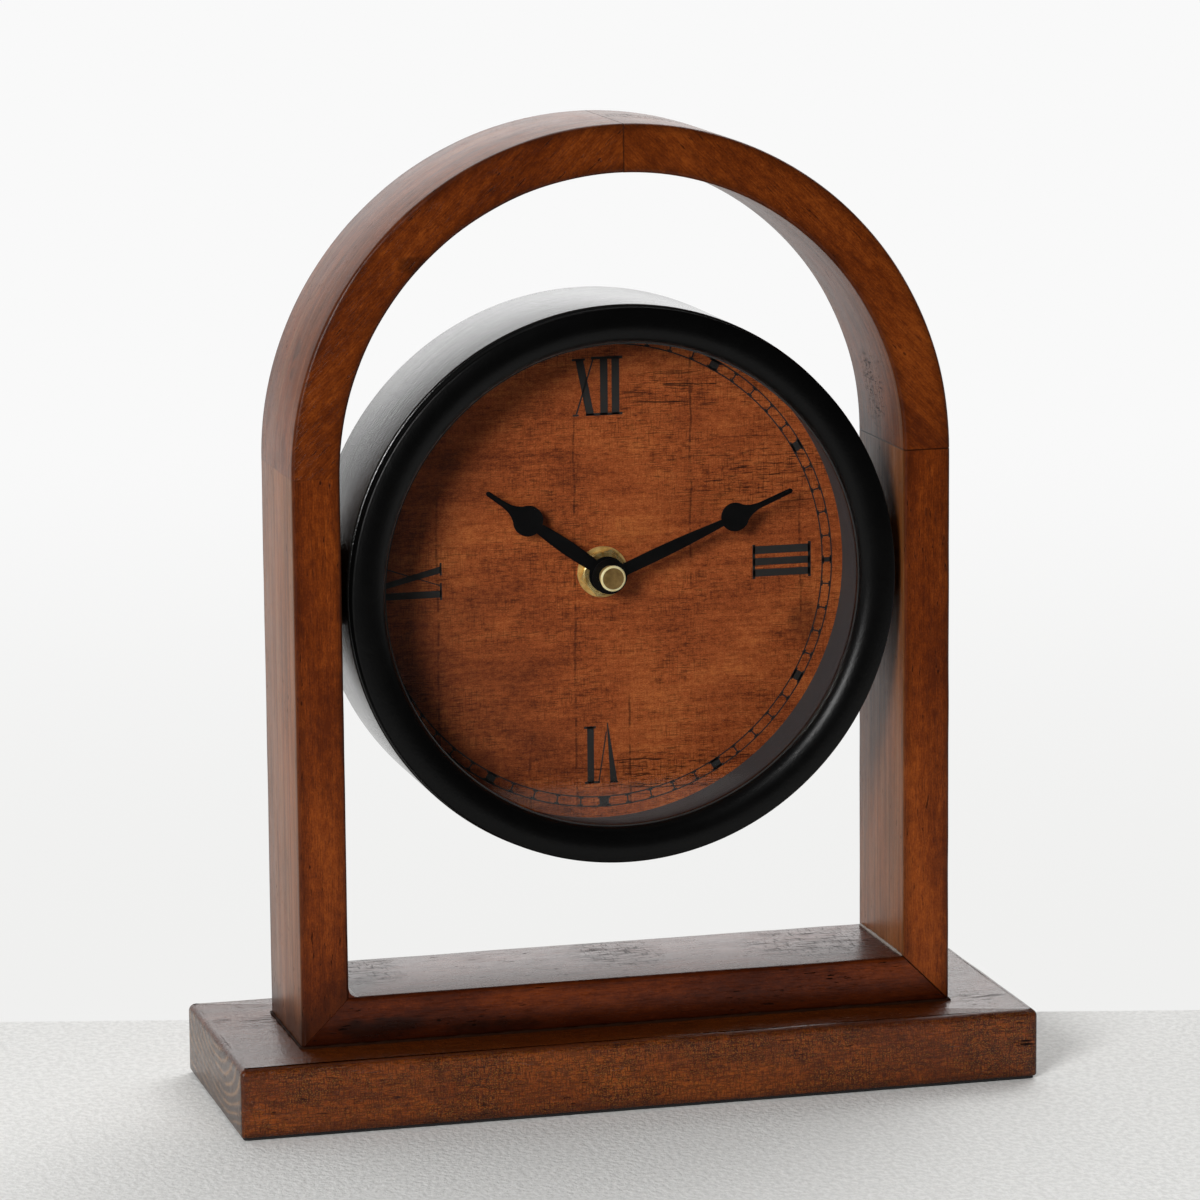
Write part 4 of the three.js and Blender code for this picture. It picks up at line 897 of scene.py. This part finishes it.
def make_posts():
    for side, sign, seam, chamfer in SIDES:
        path = stock_path(RAIL_BOTTOM + MITRE_GAP, SPRING, 4.0, (1.0, 0.0), (chamfer, chamfer))
        path = [ring for ring in path if ring[2] or ring[0] > RAIL_TOP + 2.0]

        def place(across, y, along, lean):
            return (sign * across, y, along + lean * (OUTER - across))

        finish = post_wood(side, POST_SEEDS[side], seam)
        stock(f"{side}_post_wood", 11.0 * sign, path, place, finish, f"{side}_post")


def make_rail():
    end = OUTER - MITRE_GAP
    path = stock_path(-end, end, 4.0, (1.0, -1.0), (TIGHT_SEAM, SEAM_CHAMFER))
    path = [ring for ring in path if ring[2] or abs(ring[0]) < INNER - 2.0]

    def place(across, y, along, lean):
        up = OUTER - across
        return (along + lean * up, y, RAIL_BOTTOM + up)

    stock("bottom_rail_wood", 23.0, path, place, rail_wood(), "bottom_rail")


def make_arches():
    for side, sign, seam, chamfer in SIDES:
        path = stock_path(0.0, math.radians(90) * MIDDLE, 2.4, (0.0, 0.0), (chamfer, SEAM_CHAMFER))

        def place(across, y, along, lean):
            turn = along / MIDDLE
            return (sign * across * math.cos(turn), y, SPRING + across * math.sin(turn))

        finish = arch_wood(side, ARCH_SEEDS[side], seam)
        stock(f"{side}_arch_wood", 31.0 + sign, path, place, finish, f"arch_{side}")


# Base and glue


def slab(half_width, half_depth, low, high, corner, top_round, foot_round, sway=0.0):
    """A board with rounded edges, from its foot to its top."""
    levels = []
    for turn in (0.0, 0.52, 1.05, 1.571):
        levels.append((foot_round * (1 - math.sin(turn)), low + foot_round * (1 - math.cos(turn))))
    for i in range(7):
        turn = math.radians(90 * i / 6)
        levels.append((top_round * (1 - math.cos(turn)), high - top_round * (1 - math.sin(turn))))
    flat_width, flat_depth = half_width - corner, half_depth - corner
    outline = []
    for sx, sy, start in ((1, -1, -90), (1, 1, 0), (-1, 1, 90), (-1, -1, 180)):
        outline += arc((sx * flat_width, sy * flat_depth), corner, start, start + 90, 6)
    rings = []
    for inset, z in levels:
        ring = []
        for x, y in split(outline, 3.0):
            upper = inset > 0 and z > (low + high) / 2
            dip = sway * wobble(x * 0.05, y * 0.05, 2.0) if upper else 0.0
            core = Vector((max(-flat_width, min(flat_width, x)), max(-flat_depth, min(flat_depth, y))))
            pulled = Vector((x, y)) - (Vector((x, y)) - core).normalized() * inset
            ring.append((*pulled, z + dip))
        rings.append(ring)
    return skinned(rings)


def make_base():
    foot = board_low.z - PAD_SUNK
    rounds = (BOARD_CORNER, BOARD_TOP_ROUND, BOARD_FOOT_ROUND, BOARD_SWAY)
    board = slab(board_high.x, board_high.y, foot, board_high.z, *rounds)
    made("base_board_wood", board, "stained_wood", finish=board_wood(), smooth=32.0, replaces="base_board")
    pad = slab(pad_high.x, pad_high.y, pad_low.z, foot, BOARD_CORNER, PAD_EDGE, PAD_EDGE)
    made("base_pad_foam", pad, "foot_pad", replaces="base_pad")


def bead(name, line, radius, seed, finish, closed=False):
    """An uneven bead of set glue along a line of points."""
    rings = []
    last = len(line) - 1
    for i, point in enumerate(line):
        here = Vector(point)
        before = Vector(line[i - 1] if closed or i else line[i])
        after = Vector(line[(i + 1) % len(line)] if closed or i < last else line[i])
        way = (after - before).normalized()
        side = way.cross(Vector((0, 0, 1)))
        side = side.normalized() if side.length > 0.1 else Vector((1, 0, 0))
        lift = side.cross(way).normalized()
        size = radius * (0.75 + 0.55 * wobble(i * 0.31, seed, 1.0) + 0.25 * wobble(i * 1.3, seed, 4.0))
        if not closed and i in (0, last):
            size *= 0.25
        size = max(size, 0.08)
        rings.append([tuple(here + (side * c + lift * s) * size) for c, s in circle(10)])
    made(name, skinned(rings, closed), "stained_wood", finish=finish, smooth=80.0)


def make_glue():
    """Squeezed-out glue round the frame's foot and in the inner corners."""
    width, depth, z = OUTER + 0.1, HALF_DEPTH + 0.1, BOARD_TOP + 0.1
    corners = [(-width, -depth), (width, -depth), (width, depth), (-width, depth)]
    line = [(x, y, z) for x, y in split(corners, 1.4)]
    bead("foot_glue_bead", line, 0.75, 3.0, GLUE, closed=True)
    end = HALF_DEPTH - 1.6
    line = [(INNER - 0.1, -end + 2 * end * i / 29, RAIL_TOP + 0.1) for i in range(30)]
    bead("right_corner_bead", line, 0.8, 9.0, PALE_GLUE)

    # Filled left corner: a hollow quarter round from the post down to the rail
    x, z = -INNER - 0.05, RAIL_TOP - 0.05
    section = [(x, z), (x + FILLET, z)]
    section += arc((x + FILLET, z + FILLET), FILLET, -90, -180, 8)[1:]
    end = HALF_DEPTH - 0.4
    rings = []
    for y, inset in ((-end, 0.5), (-end + 0.4, 0.0), (end - 0.4, 0.0), (end, 0.5)):
        k = 1 - inset / FILLET
        rings.append([(x + (px - x) * k, y, z + (pz - z) * k) for px, pz in section])
    made("left_corner_fillet", skinned(rings), "stained_wood", finish=fillet_wood(), smooth=30.0)


# Drum, bezel, glass and dial


def disc(inner, rim, low, high, edge):
    """The profile of a disc with a chamfered rim."""
    half = [(inner, low), (rim - edge, low), (rim, low + edge)]
    return half + [(rim, high - edge), (rim - edge, high), (inner, high)]


def make_drum():
    front, back = drum_low.y, drum_high.y
    inner = DRUM_RADIUS - DRUM_WALL
    dial_seat = inner + DIAL_SHOULDER
    glass_seat = inner + GLASS_SHOULDER
    edge = DRUM_RADIUS - DRUM_ROUND
    face = dial_low.y
    shell = [(glass_seat, front)]
    shell += arc((edge, front + DRUM_ROUND), DRUM_ROUND, -90, 0, 5)
    shell += arc((edge, back - DRUM_ROUND), DRUM_ROUND, 0, 90, 5)
    shell += arc((dial_seat + 0.5, back - 0.5), 0.5, 90, 180, 3)
    shell += [(dial_seat, face), (inner, face), (inner, glass_high.y), (glass_seat, glass_high.y)]
    drum = turned("drum_wood", shell, "black_wood", 256, replaces="drum_shell")
    refinished(drum, (DRUM_LINING,), lambda r, y: int(r < dial_seat + 0.1 and y < back - 1.0))

    # Bezel: a lip over the glass, a swell to the crest, and a fall to the rim
    lip = DRUM_RADIUS - BEZEL_WIDTH
    inner = lip + BEZEL_LIP
    foot = front - BEZEL_STEP
    seat = foot - BEZEL_LIP
    rim = DRUM_RADIUS - BEZEL_SET_IN
    shoulder = rim - BEZEL_EDGE
    heel = DRUM_RADIUS - BEZEL_HEEL
    crest, top = BEZEL_CREST
    ring = [(lip, front), (lip, seat), (inner, seat)]
    for turn in (math.pi / 2 * i / 28 for i in range(1, 29)):
        ring.append((crest - (crest - inner) * math.cos(turn), seat + (top - seat) * math.sin(turn)))
    for out in (i / 8 for i in range(1, 9)):
        ring.append((crest + (shoulder - crest) * out, top + BEZEL_FALL * out * out))
    ring += arc((shoulder, top + BEZEL_FALL + BEZEL_EDGE), BEZEL_EDGE, -65, 0, 6)
    ring += [(rim, foot - 0.3), (heel, foot), (heel, front)]
    bezel = turned("bezel_wood", ring, "black_wood", 256, finish=BEZEL_BLACK, replaces="bezel_ring")

    def zone(radius, y):
        # the inner lip takes the painted highlight
        if radius < inner and y < foot:
            return 1
        # the bezel's outer side takes the painted groove shade
        return 2 if radius > rim - 0.15 else 0

    refinished(bezel, (LIP_PAINTED_HIGHLIGHT, GROOVE_PAINTED_SHADE), zone)
    glass = disc(0.0, glass_high.x, glass_low.y, glass_high.y, 0.2)
    turned("glass_pane", glass, "glass", 128, replaces="glass_lens")
    dial = disc(DIAL_HOLE, dial_high.x, dial_low.y, dial_high.y, 0.3)
    turned("dial_veneer", dial, "dial_print", 128, replaces="dial_board")


# Print on the dial: shapes are (across, out) pairs on a numeral that stands at twelve


def stroke(low, high, *ends):
    """A stroke from its two ends across at the low edge to those at the high edge."""
    return [(ends[0], low), (ends[1], low), (ends[-1], high), (ends[-2], high)]


# Each numeral's place in degrees and its strokes
NUMERALS = {
    "twelve": (
        0,
        (45.5, 61.9, -4.3, -2.0, -7.5, -5.15),
        (46.0, 61.6, -7.5, -7.0, -2.5, -2.05),
        (45.5, 62.2, -0.2, 2.06),
        (45.5, 62.2, 3.2, 5.5),
        (61.4, 62.0, -8.5, -4.6),
        (61.6, 62.4, -2.8, 6.5),
        (45.4, 45.95, -8.3, -6.6),
        (45.4, 46.1, -4.5, 6.4),
    ),
    "three": (
        90,
        (45.2, 62.4, -5.0, -2.65),
        (45.2, 62.4, -1.46, 0.7),
        (45.2, 62.4, 1.82, 4.0),
        (45.0, 45.85, -5.45, 4.65),
        (61.75, 62.65, -5.7, 4.65),
    ),
    "six": (
        180,
        (44.4, 62.1, -1.25, -0.95, -4.05, -1.9),
        (47.0, 62.1, -1.0, -0.6, 1.4, 1.8),
        (45.3, 62.1, 2.95, 4.95),
        (45.2, 45.85, 2.3, 5.85),
        (61.4, 62.1, 1.2, 5.7),
        (61.7, 62.2, -4.25, -1.8),
    ),
    "nine": (
        270,
        (47.5, 64.3, -4.95, -2.9),
        (47.6, 64.3, 2.15, 4.15, -1.75, -0.05),
        (47.6, 64.3, -1.75, -1.4, 4.05, 4.4),
        (47.4, 48.0, -5.7, -0.7),
        (47.4, 48.0, 1.4, 5.1),
        (63.9, 64.4, -5.7, 0.4),
        (63.9, 64.4, 3.3, 5.2),
    ),
}


def printed(name, shapes):
    """Closed shapes of ink on the dial, given as (x, z) pairs about the clock's axis."""
    points, faces = [], []
    for shape in shapes:
        start, count = len(points), len(shape)
        for y in (dial_low.y - INK_THICKNESS, dial_low.y + INK_THICKNESS):
            points.extend((x, y, AXIS_HEIGHT + z) for x, z in shape)
        faces.append(tuple(range(start, start + count)))
        faces.append(tuple(range(start + 2 * count - 1, start + count - 1, -1)))
        for i in range(count):
            j = (i + 1) % count
            faces.append((start + i, start + count + i, start + count + j, start + j))
    ink = linked(name, mesh_of(name, points, faces))
    ink.data.materials.append(DIAL_INK)
    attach(ink, "stand")


def on_dial(shape, degrees):
    """A shape of (across, out) pairs, turned clockwise from twelve to its place."""
    turn = math.radians(degrees)
    sine, cosine = math.sin(turn), math.cos(turn)
    return [(out * sine + across * cosine, out * cosine - across * sine) for across, out in shape]


def hoop(inner, outer, steps=180):
    """A thin ring as short four-sided strips."""
    slope = math.tan(math.radians(180.0 / steps))
    width, spread = inner * slope, outer * slope
    strip = stroke(inner, outer, -width, width, -spread, spread)
    return [on_dial(strip, i * 360.0 / steps) for i in range(steps)]


def make_print():
    for name, (degrees, *strokes) in NUMERALS.items():
        printed(f"numeral_{name}", [on_dial(stroke(*row), degrees) for row in strokes])
    shapes = []
    for radius in (TRACK_INNER, TRACK_OUTER):
        shapes += hoop(radius - TRACK_LINE, radius + TRACK_LINE)
    for minute in range(60):
        half = HOUR_HALF if minute % 5 == 0 else TICK_HALF
        if minute == 15:
            half = QUARTER_HALF
        foot = half + SERIF_REACH
        marks = [stroke(TRACK_INNER, TRACK_OUTER, -half, half)]
        for low in (TRACK_INNER + TRACK_LINE, TRACK_OUTER - TRACK_LINE - TICK_SERIF):
            marks.append(stroke(low, low + TICK_SERIF, -foot, foot))
        shapes += [on_dial(mark, minute * 6) for mark in marks]
    printed("minute_track", shapes)


# Hands and the clamp on the axis


def bent(corners, steps=10):
    """A quadratic curve after the first corner to the last, pulled by the middle one."""
    a, b, c = (Vector(corner) for corner in corners)
    parts = [i / steps for i in range(1, steps + 1)]
    return [tuple(a * (1 - t) ** 2 + b * (2 * t * (1 - t)) + c * t**2) for t in parts]


def hand_outline(length, hub, arm_at_hub, arm_at_bulb, swell, place, bulb, tip_at_bulb, tip_at_end):
    """A spade hand along +X: hub, tapered arm, bulb, hollow shoulders and slender tip."""
    root = math.asin(arm_at_hub / 2 / hub)
    neck = math.pi - math.asin(arm_at_bulb / 2 / bulb)
    start_arm, end_arm = hub * math.cos(root), place + bulb * math.cos(neck)
    root, neck, shoulder = math.degrees(root), math.degrees(neck), math.degrees(SHOULDER)
    near, far = tip_at_bulb / 2, tip_at_end / 2
    corner = (place + bulb * math.cos(SHOULDER), -bulb * math.sin(SHOULDER))
    pull, start = place + SHOULDER_PULL * bulb, place + SHOULDER_REACH * bulb
    tip = bent((corner, (pull, -near), (start, -near)))
    side = []
    for i in range(1, 12):
        t = i / 12
        width = arm_at_hub * (1 - t) + arm_at_bulb * t + swell * math.sin(math.pi * t)
        side.append((start_arm + (end_arm - start_arm) * t, width / 2))
    points = arc((0, 0), hub, root, 360 - root, 56)
    points += [(x, -y) for x, y in side]
    points += arc((place, 0), bulb, -neck, -shoulder, 28) + tip
    points += arc((length - far, 0), far, -90, 90, 8)
    points += [(x, -y) for x, y in reversed(tip)]
    points += arc((place, 0), bulb, shoulder, neck, 28)
    return points + side[::-1]


def offset_outline(outline, distance):
    """The outline moved inwards by a small distance, point by point."""
    moved = []
    for i, here in enumerate(outline):
        way = Vector(outline[(i + 1) % len(outline)]) - Vector(outline[i - 1])
        way.normalize()
        moved.append((here[0] - way.y * distance, here[1] + way.x * distance))
    return moved


def make_hand(name, sizes, turn, low, high, body, node):
    outline = hand_outline(*sizes)
    slim = offset_outline(outline, HAND_CHAMFER)
    angle = math.radians(90 - turn)
    cosine, sine = math.cos(angle), math.sin(angle)
    levels = ((slim, low), (outline, low + HAND_CHAMFER), (outline, high - HAND_CHAMFER), (slim, high))
    rings = []
    for shape, y in levels:
        rings.append([on_axis(x * cosine - z * sine, y, x * sine + z * cosine) for x, z in shape])
    made(name, skinned(rings), "black_metal", body=body, smooth=30.0, replaces=node)


def make_cap():
    rim, low, high = cap_high.x, cap_low.y, cap_high.y
    cap = [(0.0, low + 0.12), (rim - 1.0, low + 0.10), (rim - 0.62, low), (rim - 0.4, low)]
    cap += [(rim, low + 0.3), (rim, low + 0.8), (rim - 0.5, low + 1.1), (rim - 0.5, high)]
    cap += [(1.6, high), (1.6, high - 2.8), (0.0, high - 2.8)]
    nut = turned("cap_nut_brass", cap, "brass", 96, body="minute_works", smooth=30.0, replaces="cap_nut")

    def zone(radius, y):
        # the face takes the painted shade, the rim the painted highlight
        if y < low + 0.55:
            return 1 if radius < rim - 0.8 else 2
        return 0

    refinished(nut, (CAP_FACE_PAINTED_SHADE, CAP_RIM_PAINTED_HIGHLIGHT), zone)


def make_clamp():
    rim, low, high = washer_high.x, washer_low.y, washer_high.y
    washer = [(CLAMP_BORE, low), (rim - 0.18, low), (rim, low + 0.18), (rim, high), (CLAMP_BORE, high)]
    turned("washer_brass", washer, "brass", 128, replaces="brass_washer")

    # Hexagonal nut: six flats under a turned chamfer
    bore, low, high = CLAMP_BORE, nut_low.y, nut_high.y
    rings = []
    for i, (c, s) in enumerate(circle(96)):
        swing = (360 * i / 96 - 12) % 60 - 30
        corner = NUT_APOTHEM / math.cos(math.radians(swing))
        slope = low + max(0.0, corner - NUT_CROWN) * NUT_FALL
        profile = [(bore, low + 0.2), (bore + 0.2, low), (NUT_CROWN, low), (corner, slope)]
        profile += [(corner, high - 0.1), (corner - 0.1, high), (bore, high)]
        rings.append([on_axis(r * c, y, r * s) for r, y in profile])
    nut = skinned(rings, closed=True)
    made("nut_brass", nut, "brass", finish=NUT_BRASS, smooth=24.0, replaces="hex_nut")

    # Threaded bush: a ridge at each pitch, down to its flange
    low, high = bush_low.y, bush_high.y
    thread = [(BUSH_BORE, low)]
    y = low
    while y < high - 1.2:
        thread += [(THREAD_ROOT, y), (THREAD_CREST, y + THREAD_PITCH / 2)]
        y += THREAD_PITCH
    thread += [(THREAD_ROOT, high - 0.6), (BUSH_FLANGE, high - 0.6), (BUSH_FLANGE, high), (BUSH_BORE, high)]
    turned("bush_brass", thread, "brass", 64, smooth=20.0, replaces="threaded_bush")


# Screws, battery and case


def settle(thing):
    """Writes a piece's modifiers into its mesh."""
    graph = bpy.context.evaluated_depsgraph_get()
    mesh = bpy.data.meshes.new_from_object(thing.evaluated_get(graph))
    thing.modifiers.clear()
    old = thing.data
    thing.data = mesh
    bpy.data.meshes.remove(old)


def make_screw(name, node, side):
    """A pan-head screw with a slot, its head towards the clock's axis."""
    low, high = span(node)
    place = about_node(node, high.x if side < 0 else low.x, side)
    length = high.x - low.x
    head, tall, shank = HEAD_RADIUS, HEAD_HEIGHT, SHANK_RADIUS
    profile = [(0.0, 0.0)]
    for degrees in (20, 40, 60, 75):
        turn = math.radians(degrees)
        profile.append((head * math.sin(turn) * 0.98, tall * 0.55 * (1 - math.cos(turn))))
    profile += [(head, tall * 0.6), (head, tall), (shank, tall)]
    along = tall
    while along < length - 4.0:
        profile += [(shank - 0.3, along + 0.2), (shank, along + 0.5)]
        along += 0.8
    profile += [(shank - 0.4, length - 3.0), (0.0, length)]
    screw = turned(name, profile, "steel", 48, place, smooth=30.0, replaces=node)
    box = bmesh.new()
    bmesh.ops.create_cube(box, size=1.0, matrix=Matrix.Diagonal((*(Vector(SLOT_SIZE) * MM), 1.0)))
    tilt = Matrix.Rotation(math.radians(35 if "upper" in name else -20), 4, "X")
    shift = Matrix.Translation(Vector(place(0.0, 0.0, 0.0)) * MM)
    bmesh.ops.transform(box, matrix=shift @ tilt, verts=box.verts)
    mesh = bpy.data.meshes.new(name + "_slot")
    box.to_mesh(mesh)
    box.free()
    cutter = linked("cutter", mesh)
    cut = screw.modifiers.new("cut", "BOOLEAN")
    cut.operation = "DIFFERENCE"
    cut.object = cutter
    settle(screw)
    bpy.data.objects.remove(cutter)
    bpy.data.meshes.remove(mesh)


def make_battery():
    low, high = span("battery_cell")
    radius = (high.y - low.y) / 2
    end = high.x - 1.6
    profile = [(0.0, low.x + 0.3), (radius * 0.55, low.x + 0.3), (radius * 0.6, low.x)]
    profile += [(radius - 0.5, low.x), (radius, low.x + 0.5), (radius, end - 0.6), (radius - 0.6, end)]
    profile += [(2.9, end + 0.05), (2.6, high.x - 0.25), (2.35, high.x), (0.0, high.x)]
    place = about_node("battery_cell")
    turned("battery_sleeve", profile, "battery", 64, place, smooth=30.0, replaces="battery_cell")


def ease(node, width, slot):
    """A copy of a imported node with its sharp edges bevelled."""
    shape = bmesh.new()
    shape.from_mesh(frame["nodes"][node].data)
    bmesh.ops.remove_doubles(shape, verts=shape.verts, dist=0.002 * MM)
    flat = math.radians(1.0)
    bmesh.ops.dissolve_limit(shape, angle_limit=flat, verts=shape.verts, edges=shape.edges)
    mesh = bpy.data.meshes.new(node + "_eased")
    shape.to_mesh(mesh)
    shape.free()
    thing = linked(node + "_eased", mesh)
    bevel = thing.modifiers.new("bevel", "BEVEL")
    bevel.width = width * MM
    bevel.segments = 2
    bevel.limit_method = "ANGLE"
    bevel.angle_limit = math.radians(50)
    settle(thing)
    dressed(thing, slot, smooth=35.0, replaces=node)


def dress_nodes():
    """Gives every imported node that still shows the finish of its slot."""
    for row in frame["record"]["subparts"]:
        for node in row.get("nodes", [row.get("node")]):
            thing = frame["nodes"].get(node)
            if thing is not None:
                thing.data.materials.clear()
                thing.data.materials.append(FINISHES[row["material_slot"]])


make_camera()
make_posts()
make_rail()
make_arches()
make_base()
make_glue()
make_drum()
make_print()
for kind, sizes, turn, low, high in (
    ("minute", MINUTE_HAND, MINUTE_TURN, minute_low, minute_high),
    ("hour", HOUR_HAND, HOUR_TURN, hour_low, hour_high),
):
    make_hand(f"{kind}_hand_enamel", sizes, turn, low.y, high.y, f"{kind}_works", f"{kind}_hand")
make_cap()
make_clamp()
for side, sign in (("left", -1), ("right", 1)):
    for level in ("lower", "upper"):
        make_screw(f"{side}_{level}_screw", f"drum_screw_{side}_{level}", sign)
ease("movement_case", 0.25, "black_plastic")
ease("movement_cover", 0.25, "black_plastic")
make_battery()


# Floor, world and lamps

# The table's far edge: x * a + y * b = c, in millimetres
FLOOR_EDGE = (0.2512, 0.9679, 68.1)
FLOOR_NEAR = -0.42
FLOOR_FAR = 8.0
FLOOR_COLOUR = (224, 224, 222)
FLOOR_PALE = (237, 237, 235)
BACKDROP_LOW = (240, 240, 239)
BACKDROP_COLOUR = (249, 249, 249)


def seen(tree):
    """1 for rays that show the background: from the camera, or off metal or through glass."""
    kinds = ("Is Camera Ray", "Is Glossy Ray", "Is Transmission Ray")
    return highest(tree.node("ShaderNodeLightPath", {}, {}, kind) for kind in kinds)


def make_floor():
    """A pale table top. Past its far edge it shows the bright backdrop."""
    mesh = bpy.data.meshes.new("floor")
    near, far = FLOOR_NEAR, FLOOR_FAR
    mesh.from_pydata([(-far, near, 0), (far, near, 0), (far, far, 0), (-far, far, 0)], [], [(0, 1, 2, 3)])
    floor = linked("floor", mesh)
    look = Finish("floor_paint")
    x, y, z = look.place
    grain = look.fleck(0.56, 0.46, 0.0, 3.0, 0.55)
    colour = look.mix(grain.eased(0.35, 0.65), FLOOR_COLOUR, FLOOR_PALE)
    paint = look.node("ShaderNodeBsdfDiffuse", {}, {"Color": colour, "Normal": look.bump(grain, 0.42)})
    a, b, edge = FLOOR_EDGE
    reach = x * a + y * b
    glow = look.mix(reach.eased(edge, edge + 1200), BACKDROP_LOW, BACKDROP_COLOUR)
    bright = look.node("ShaderNodeEmission", {}, {"Color": glow, "Strength": 1.0})
    beyond = reach.eased(edge - 0.8, edge + 0.8)
    mesh.materials.append(look.done(look.blended(beyond * seen(look), paint, bright)))


def make_world():
    """A plain backdrop to the camera, and a studio's soft light from behind to the rest."""
    world = bpy.data.worlds.new("studio")
    world.use_nodes = True
    bpy.context.scene.world = world
    sky = Tree(world.node_tree)
    across, depth, rise = sky.parts("Generated")
    behind = (depth - across * 0.2).eased(-0.3, 0.5)
    height = rise.eased(-0.12, 0.18, 0.7, 2.0) * rise.eased(0.2, 0.42, 1.0, 0.75)
    light = behind * height * across.eased(-0.36, 0.0, 0.3, 1.0) + 0.03
    glow = sky.node("ShaderNodeBackground", {}, {"Color": (1, 1, 1, 1), "Strength": light})
    camera = sky.node("ShaderNodeLightPath", {}, {}, "Is Camera Ray")
    shown = camera + (1 - camera) * light * 1.05
    plain = sky.node("ShaderNodeBackground", {}, {"Color": BACKDROP_COLOUR, "Strength": shown})
    shader = sky.node("ShaderNodeMixShader", {}, {0: seen(sky), 1: glow, 2: plain})
    sky.node("ShaderNodeOutputWorld", {}, {"Surface": shader})


def lamp(name, place, target, size, power):
    data = bpy.data.lights.new(name, "AREA")
    data.shape = "DISK"
    data.size = size
    data.energy = power
    light = linked(name, data)
    light.location = place
    way = Vector(target) - Vector(place)
    light.rotation_euler = way.to_track_quat("-Z", "Y").to_euler()


make_floor()
make_world()
lamp("key_lamp", (-1.3, -1.6, 0.85), (0, 0, 0.14), 0.8, 44.0)
lamp("back_lamp", (0.7, 0.9, 1.3), (0, 0, 0.1), 0.9, 6.0)

bpy.context.scene.view_settings.view_transform = "Standard"
dress_nodes()

low, high = cad_box
